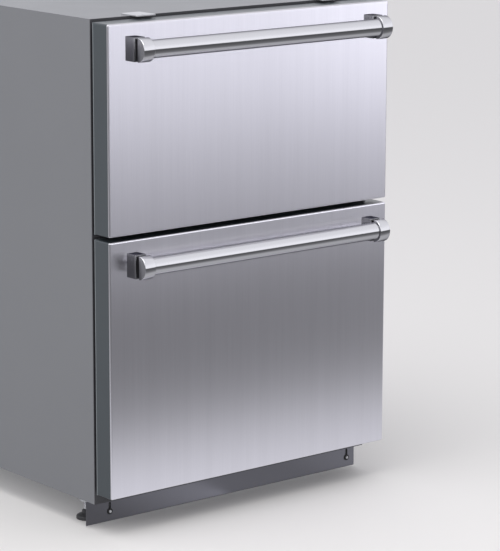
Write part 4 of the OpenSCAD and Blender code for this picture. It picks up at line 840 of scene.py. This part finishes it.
def rear_screws():
    """Pan-head screws along the edges of the back sheet"""
    lo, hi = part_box("rear_panel")
    face, side_x, low, high = hi.y - 1 * MM, 290 * MM, 300 * MM, hi.z - 12 * MM
    spots = [(s * side_x, low + (high - low) * i / 4) for s in (-1, 1) for i in range(5)]
    spots += [(x * MM, z) for z in (high, low - 10 * MM) for x in (-145, 0, 145)]
    first_x, first_z = spots[0]
    head = turned("head", (first_x, face, first_z),
                  mm((3.6, -0.4), (3.6, 0.2), (3.1, 0.6), (2.2, 0.9), (1.3, 0.95), (0.9, 0.3)), "Y")
    made = [head] + [copy_to(head, (x - first_x, 0, z - first_z), "head") for x, z in spots[1:]]
    put_together("rear_panel_screws", [(part, 0) for part in made], 40, ("screw_steel",), "cabinet", "screw_steel")


rear_screws()


# ---- Gaskets ----

def gasket(prefix):
    """Magnetic gasket: a flat foot, a waist and a soft bulb, mitred at the corners"""
    lo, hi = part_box(prefix + "_gasket")
    middle = 6
    half = [(6, 0), (0, 0), (0, 2.2), (0.5, 2.5), (3.2, 2.6), (3.8, 3.1), (3.8, 4), (3.0, 4.4), (2.3, 5), (2, 6),
            (2, 8), (2.3, 8.9), (3, 9.5), (4.2, 9.7), (6, 9.7)]
    section = half + [(2 * middle - inset, up) for inset, up in reversed(half[:-1])]
    edge = Vector((middle * MM, 0, middle * MM))
    ring = framed("ring", lo + edge, Vector((hi.x, lo.y, hi.z)) - edge,
                  [((inset - middle) * MM, lo.y + up * MM) for inset, up in section])
    put_together(prefix + "_door_gasket", [(ring, 0)], 50, ("gasket_rubber",),
                 prefix + "_drawer", "gasket_rubber", prefix + "_gasket")


for prefix in ("upper", "lower"):
    gasket(prefix)


# ---- Controls ----

def button(name):
    """A dished key with a raised mark"""
    lo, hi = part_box(name + "_button")
    x, y, z = (lo.x + hi.x) / 2, hi.y, (lo.z + hi.z) / 2
    low, high = 10.2 * MM, 10.8 * MM
    key = turned("key", (x, y, z), mm((6, 0), (6, 10.2), (5.8, 10.7), (5.3, 11), (4.9, 11), (4.3, 10.6),
                                      (3.2, 10.35), (0.5, 10.3)), "-Y", 48)
    made = [(key, 0)]
    if name == "light":
        ring = mm((1.9, 10.2), (1.9, 10.7), (1.7, 10.8), (1.2, 10.8), (1.1, 10.2))
        made.append((turned("mark", (x, y, z), ring, "-Y", 32), 1))
    else:
        for wide, tall in mm((2.2, 0.4), (0.4, 2.2))[:2 if name == "warmer" else 1]:
            mark = add_block("mark", (x - wide, y - high, z - tall), (x + wide, y - low, z + tall))
            round_edges(mark, 0.15 * MM, 2)
            made.append((mark, 1))
    put_together(name + "_key_cap", made, 40, ("button_plastic", "black_plastic"),
                 name + "_key", "button_plastic", name + "_button")


def display_window():
    """Smoked window let into the control panel"""
    lo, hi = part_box("control_panel")
    z, left, right, half = (lo.z + hi.z) / 2, -104.8 * MM, -35.2 * MM, 5.8 * MM
    window = add_block("window", (left, lo.y + 0.1 * MM, z - half), (right, lo.y + 1 * MM, z + half))
    round_edges(window, 0.3 * MM, 2)
    push(window, lambda f: f.normal.y < -0.99, 1 * MM, (0, 0.2 * MM, 0))
    put_together("display_window", [(window, 0)], 30, ("smoked_window",), "cabinet", "black_plastic")


for name in ("colder", "warmer", "light"):
    button(name)
display_window()


# ---- Drawer boxes ----

def drawer_box(prefix):
    """Folded steel box with rounded corners, hemmed rims, pressed floor ribs and screws to the slides"""
    lo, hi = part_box(prefix + "_drawer_box")
    slide_lo, slide_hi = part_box(prefix + "_drawer_slides")
    rim, hem, corner, wall, rib_width, ribs = 4 * MM, 2 * MM, 14 * MM, 1.5 * MM, 10 * MM, 7
    half = hi.x - rim
    box = add_block("box", (-half, lo.y, lo.z), (half, hi.y, hi.z))
    open_side(box, lambda f: f.normal.z > 0.9)
    round_edges(box, corner, 8, lambda e: runs(e, Z, corner))
    round_edges(box, 3 * MM, 3, lambda e: lies_at(e, Z, lo.z) and sharp(e))
    # The rim turns outwards along the sides, down and back under itself
    pick(box, "EDGE", lambda e: len(e.link_faces) == 1)
    for wide, drop in ((hi.x / half, 0), (1, -5 * MM), ((hi.x - hem) / hi.x, 0)):
        bpy.ops.mesh.extrude_edges_move(TRANSFORM_OT_translate={"value": (0, 0, drop)})
        bpy.ops.transform.resize(value=(wide, 1, 1), center_override=(0, (lo.y + hi.y) / 2, hi.z))
    done()
    give(box, "SOLIDIFY", thickness=wall, offset=-1, use_even_offset=True)
    # The sheet's thickness stays below the top
    for vertex in box.data.vertices:
        vertex.co.z = min(vertex.co.z, hi.z)
    floor_z, rise = lo.z + wall, 1.7 * MM
    rib = add_block("rib", (-rib_width / 2, lo.y + 2 * corner, floor_z - 0.3 * MM),
                    (rib_width / 2, hi.y - 2 * corner, floor_z + rise))
    round_edges(rib, 4.8 * MM, 6, lambda e: runs(e, Z))
    round_edges(rib, 1.5 * MM, 3, lambda e: past(e, Z, floor_z + rise - 0.1 * MM))
    pitch = (2 * half - 4 * corner) / ribs
    made = [(box, 0)] + [(copy_to(rib, (pitch * (i - ribs // 2), 0, 0), "rib"), 0) for i in range(ribs)]
    bpy.data.objects.remove(rib)
    z = (slide_lo.z + slide_hi.z) / 2
    for side, axis in ((-1, "X"), (1, "-X")):
        for share in (0.08, 0.5, 0.92):
            at = (side * (half - wall), slide_lo.y + 2 * MM + share * (slide_hi.y - slide_lo.y), z)
            made.append((turned("screw", at, mm((4, -0.3), (4, 0.4), (3.4, 1.2), (2, 1.6), (1.4, 1.6), (1.1, 0.7)),
                                axis), 1))
    put_together(prefix + "_folded_box", made, 40, ("box_steel", "screw_steel"),
                 prefix + "_drawer", "box_steel", prefix + "_drawer_box")


for prefix in ("upper", "lower"):
    drawer_box(prefix)


# ---- Louvres, mains inlet and light ----

def louvres():
    """Slanted blades behind the air slots of both side panels"""
    made, sheet, slant, count, pitch = [], 0.8 * MM, 7 * MM, 9, 14 * MM
    front, back, low = 186 * MM, 279 * MM, 90.6 * MM
    for side in (-1, 1):
        outer, inner = side * 298.8 * MM, side * 293.5 * MM
        blade = add_block("blade", (min(outer, inner), front, low), (max(outer, inner), back, low + sheet))
        for vertex in blade.data.vertices:
            if abs(vertex.co.x - inner) < NEAR:
                vertex.co.z -= slant
                vertex.co.y += 2 * MM * (1 if vertex.co.y < (front + back) / 2 else -1)
        round_edges(blade, 0.3 * MM, 2)
        made += [(copy_to(blade, (0, 0, i * pitch), "blade"), 0) for i in range(count)]
        bpy.data.objects.remove(blade)
    put_together("side_louvres", made, 40, ("cabinet_paint",), "cabinet", "cabinet_paint")


def mains_inlet():
    """Plate, appliance inlet with two cut corners, three flat pins and two screws"""
    lo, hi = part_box("power_inlet")
    x, y, z = (lo.x + hi.x) / 2, hi.y - 3 * MM, 88 * MM
    plate = add_block("plate", (lo.x, y - 2 * MM, lo.z), (hi.x, y, hi.z))
    round_edges(plate, 6 * MM, 5, lambda e: runs(e, Y) and past(e, Z, z))
    round_edges(plate, 0.4 * MM, 2, lambda e: sharp(e) and past(e, Y, y - 0.1 * MM))
    lip, half, tall = y + 3 * MM, 17 * MM, 14 * MM
    shell = add_block("socket", (x - half, y - 23 * MM, z - tall), (x + half, lip, z + tall))
    round_edges(shell, 5 * MM, 1, lambda e: runs(e, Y) and past(e, Z, z))
    round_edges(shell, 1.5 * MM, 3, lambda e: runs(e, Y) and not past(e, Z, z))
    round_edges(shell, 0.6 * MM, 2, lambda e: sharp(e) and past(e, Y, lip - 0.1 * MM))
    push(shell, lambda f: f.normal.y > 0.99, 2.4 * MM, (0, -20 * MM, 0))
    made = [(plate, 0), (shell, 0)]
    for pin_x, pin_z in mm((-7, -2), (7, -2), (0, 4)):
        pin = add_block("pin", (x + pin_x - 1 * MM, y - 21 * MM, z + pin_z - 2 * MM),
                        (x + pin_x + 1 * MM, y - 3 * MM, z + pin_z + 2 * MM))
        round_edges(pin, 0.5 * MM, 2)
        made.append((pin, 1))
    for side in (-1, 1):
        made.append((turned("bolt", (x + side * 23 * MM, y, z),
                            mm((3, -0.2), (3, 0.3), (2.6, 0.9), (1.5, 1.3), (1.1, 1.3), (0.8, 0.5)), "Y"), 1))
    put_together("mains_inlet", made, 35, ("black_plastic", "screw_steel"), "cabinet", "black_plastic", "power_inlet")


def ribbed_lens():
    """Diffuser with fine ribs along its belly"""
    lo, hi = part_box("light_lens")
    strips, ridge = 20, 0.35 * MM
    lens = add_block("lens", lo, hi)
    round_edges(lens, 1.5 * MM, 3, lambda e: runs(e, Z))
    cut_strips(lens, lo, hi, strips)
    for vertex in lens.data.vertices:
        if vertex.co.z < lo.z + 0.1 * MM:
            across = (vertex.co.y - lo.y) / (hi.y - lo.y)
            belly = (hi.z - lo.z) * 0.6 * (2 * across - 1) ** 2
            vertex.co.z = lo.z + belly + (ridge if round(across * strips) % 2 else 0)
    put_together("light_diffuser", [(lens, 0)], 25, ("lens",), "cabinet", "lens", "light_lens")


louvres()
mains_inlet()
ribbed_lens()


# ---- Toe-kick screws ----

def kick_screws():
    """Washer-headed screws: a black washer, a bright domed head"""
    lo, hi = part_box("kick_screws")
    washer_r, made, pads = 5.5 * MM, [], []
    z = (lo.z + hi.z) / 2
    for x in (lo.x + washer_r, hi.x - washer_r):
        washer = add_round("washer", (x, lo.y + 2.4 * MM, z), washer_r, 1.2 * MM, "-Y", 48)
        round_edges(washer, 0.3 * MM, 2)
        head = add_round("head", (x, lo.y + 1 * MM, z), 2.5 * MM, 1.9 * MM, "-Y", 32)
        round_edges(head, 0.8 * MM, 3, lambda e: sharp(e) and e.verts[0].co.y < lo.y + 0.5 * MM)
        shank = add_round("shank", (x, (lo.y + hi.y) / 2, z), 2 * MM, hi.y - lo.y - 2.4 * MM, "-Y", 24)
        made += [(washer, 1), (head, 0), (shank, 0)]
    put_together("toe_kick_screws", made, 35, ("screw_steel", "washer_black"), "cabinet", "screw_steel", "kick_screws")
    # Black pads on the base pan's flange, behind the slots
    flange, sheet = -198.7 * MM, 0.24 * MM
    for x in (lo.x + washer_r, hi.x - washer_r):
        pad = add_block("pad", (x - 6 * MM, flange - sheet, z - 8 * MM), (x + 6 * MM, flange, z + 20 * MM))
        round_edges(pad, 3 * MM, 4, lambda e: runs(e, Y, 0.1 * MM))
        give_finish(pad, "rubber")
        pads.append(pad)
    dress(join("slot_pads", pads), "cabinet", "rubber")


kick_screws()


# ---- Floor, reflections, light and camera ----

def cool(level):
    return (level, level, level * 1.055, 1)


def tone_ramp(tree, value, stops):
    """Grey tones along a value: each stop is (value, level), with a slight cool cast"""
    low, high = stops[0][0], stops[-1][0]
    ramp = tree.nodes.new("ShaderNodeValToRGB")
    feed(tree, ramp, {0: put(tree, "ShaderNodeMapRange", {"Value": value, "From Min": low, "From Max": high})[0]})
    marks = ramp.color_ramp.elements
    for end in (0, -1):
        marks[end].color = cool(stops[end][1])
    for at, level in stops[1:-1]:
        marks.new((at - low) / (high - low)).color = cool(level)
    return ramp.outputs[0]


def floor():
    deselect()
    bpy.ops.mesh.primitive_plane_add(size=60, location=(0, 0, 0))
    obj = start("floor")
    made, tree, shader, place = material("Pale floor")
    feed(tree, shader, {"Roughness": 0.65, "Base Color": (0.78, 0.765, 0.74, 1)})
    # Metal sees the floor pale near the cabinet and darker further out
    axes = put(tree, "ShaderNodeSeparateXYZ", {0: place})
    glow = put(tree, "ShaderNodeEmission", {"Color": tone_ramp(tree, axes["Y"], FLOOR_TONES)})
    path = put(tree, "ShaderNodeLightPath", {})
    mix = put(tree, "ShaderNodeMixShader", {0: path["Is Glossy Ray"], 1: shader.outputs[0], 2: glow[0]})
    feed(tree, tree.nodes["Material Output"], {"Surface": mix[0]})
    obj.data.materials.append(made)


def card(name, middle, size, turn, axis, tones, across, strength, lit):
    """A glowing card that only the pieces in a collection mirror, with tones along one axis and along x"""
    deselect()
    bpy.ops.mesh.primitive_plane_add(size=1, location=middle, rotation=(turn, 0, 0))
    bpy.context.object.scale = (*size, 1)
    obj = start(name)
    made, tree, shader, place = material(name)
    axes = put(tree, "ShaderNodeSeparateXYZ", {0: place})
    both = put(tree, "ShaderNodeVectorMath", {0: tone_ramp(tree, axes[axis], tones),
                                              1: tone_ramp(tree, axes["X"], across)}, operation="MULTIPLY")
    glow = put(tree, "ShaderNodeEmission", {"Color": both[0], "Strength": strength})
    clear = put(tree, "ShaderNodeBsdfTransparent", {})
    mix = put(tree, "ShaderNodeAddShader", {0: glow[0], 1: clear[0]})
    feed(tree, tree.nodes["Material Output"], {"Surface": mix[0]})
    obj.data.materials.append(made)
    obj.visible_camera = obj.visible_diffuse = obj.visible_shadow = obj.visible_transmission = False
    obj.light_linking.receiver_collection = obj.light_linking.blocker_collection = lit


def studio_cards():
    """One card stands before the fronts, one lies before them, and one lies at the foot of the toe kick"""
    lit = bpy.data.collections.new("lit_by_cards")
    for prefix in ("upper", "lower"):
        lit.objects.link(bpy.data.objects[prefix + "_front_sheet"])
    card("standing_card", (1.2, CARD_Y, CARD_TOP / 2), (6, CARD_TOP), math.pi / 2, "Z",
         CARD_TONES, CARD_ACROSS, CARD_GLOW, lit)
    near, far = FLOOR_CARD_TONES[-1][0], FLOOR_CARD_TONES[0][0]
    card("lying_card", (0.7, (near + far) / 2, 0.001), (4, near - far), 0, "Y",
         FLOOR_CARD_TONES, FLOOR_CARD_ACROSS, 1, lit)
    foot = bpy.data.collections.new("lit_by_foot_card")
    foot.objects.link(nodes["kick_plate"])
    card("foot_card", (0, -0.33, 0.002), (1.2, 0.25), 0, "Y", FOOT_CARD_TONES, FOOT_CARD_ACROSS, 1, foot)


def lamp(name, at, aim, size, power):
    data = bpy.data.lights.new(name, "AREA")
    data.shape, data.size, data.size_y = "RECTANGLE", size[0], size[1]
    data.energy = power
    obj = bpy.data.objects.new(name, data)
    obj.matrix_world = (Matrix.Translation(at)
                        @ (Vector(aim) - Vector(at)).to_track_quat("-Z", "Y").to_matrix().to_4x4())
    bpy.context.scene.collection.objects.link(obj)


def world():
    """Soft light from above, darker along the horizon"""
    made = bpy.data.worlds.new("Soft studio")
    bpy.context.scene.world = made
    made.use_nodes = True
    tree = made.node_tree
    tree.nodes.clear()
    place = put(tree, "ShaderNodeTexCoord", {})
    axes = put(tree, "ShaderNodeSeparateXYZ", {0: place["Generated"]})
    light = put(tree, "ShaderNodeBackground", {"Color": tone_ramp(tree, axes["Z"], SKY_TONES), "Strength": 1})
    seen = put(tree, "ShaderNodeBackground", {"Color": (0.76, 0.755, 0.745, 1), "Strength": 1})
    path = put(tree, "ShaderNodeLightPath", {})
    mix = put(tree, "ShaderNodeMixShader", {0: path["Is Camera Ray"], 1: light[0], 2: seen[0]})
    put(tree, "ShaderNodeOutputWorld", {"Surface": mix[0]})


def camera():
    data = bpy.data.cameras.new("camera")
    data.sensor_width, data.lens = 36, CAMERA_LENS
    obj = bpy.data.objects.new("camera", data)
    obj.matrix_world = (Matrix.Translation(CAMERA_AT) @ Matrix.Rotation(-CAMERA_YAW, 4, "Z")
                        @ Matrix.Rotation(math.pi / 2 - CAMERA_PITCH, 4, "X") @ Matrix.Rotation(CAMERA_ROLL, 4, "Z"))
    bpy.context.scene.collection.objects.link(obj)
    bpy.context.scene.camera = obj


floor()
studio_cards()
world()
lamp("overhead", (-0.8, -0.6, 3.0), (0, 0, 0.4), (2.4, 1.8), 30)
lamp("side", (-3.0, -0.4, 1.8), (0, 0, 0.5), (1.2, 1.6), 14)
camera()
bpy.context.scene.view_settings.view_transform = "Standard"
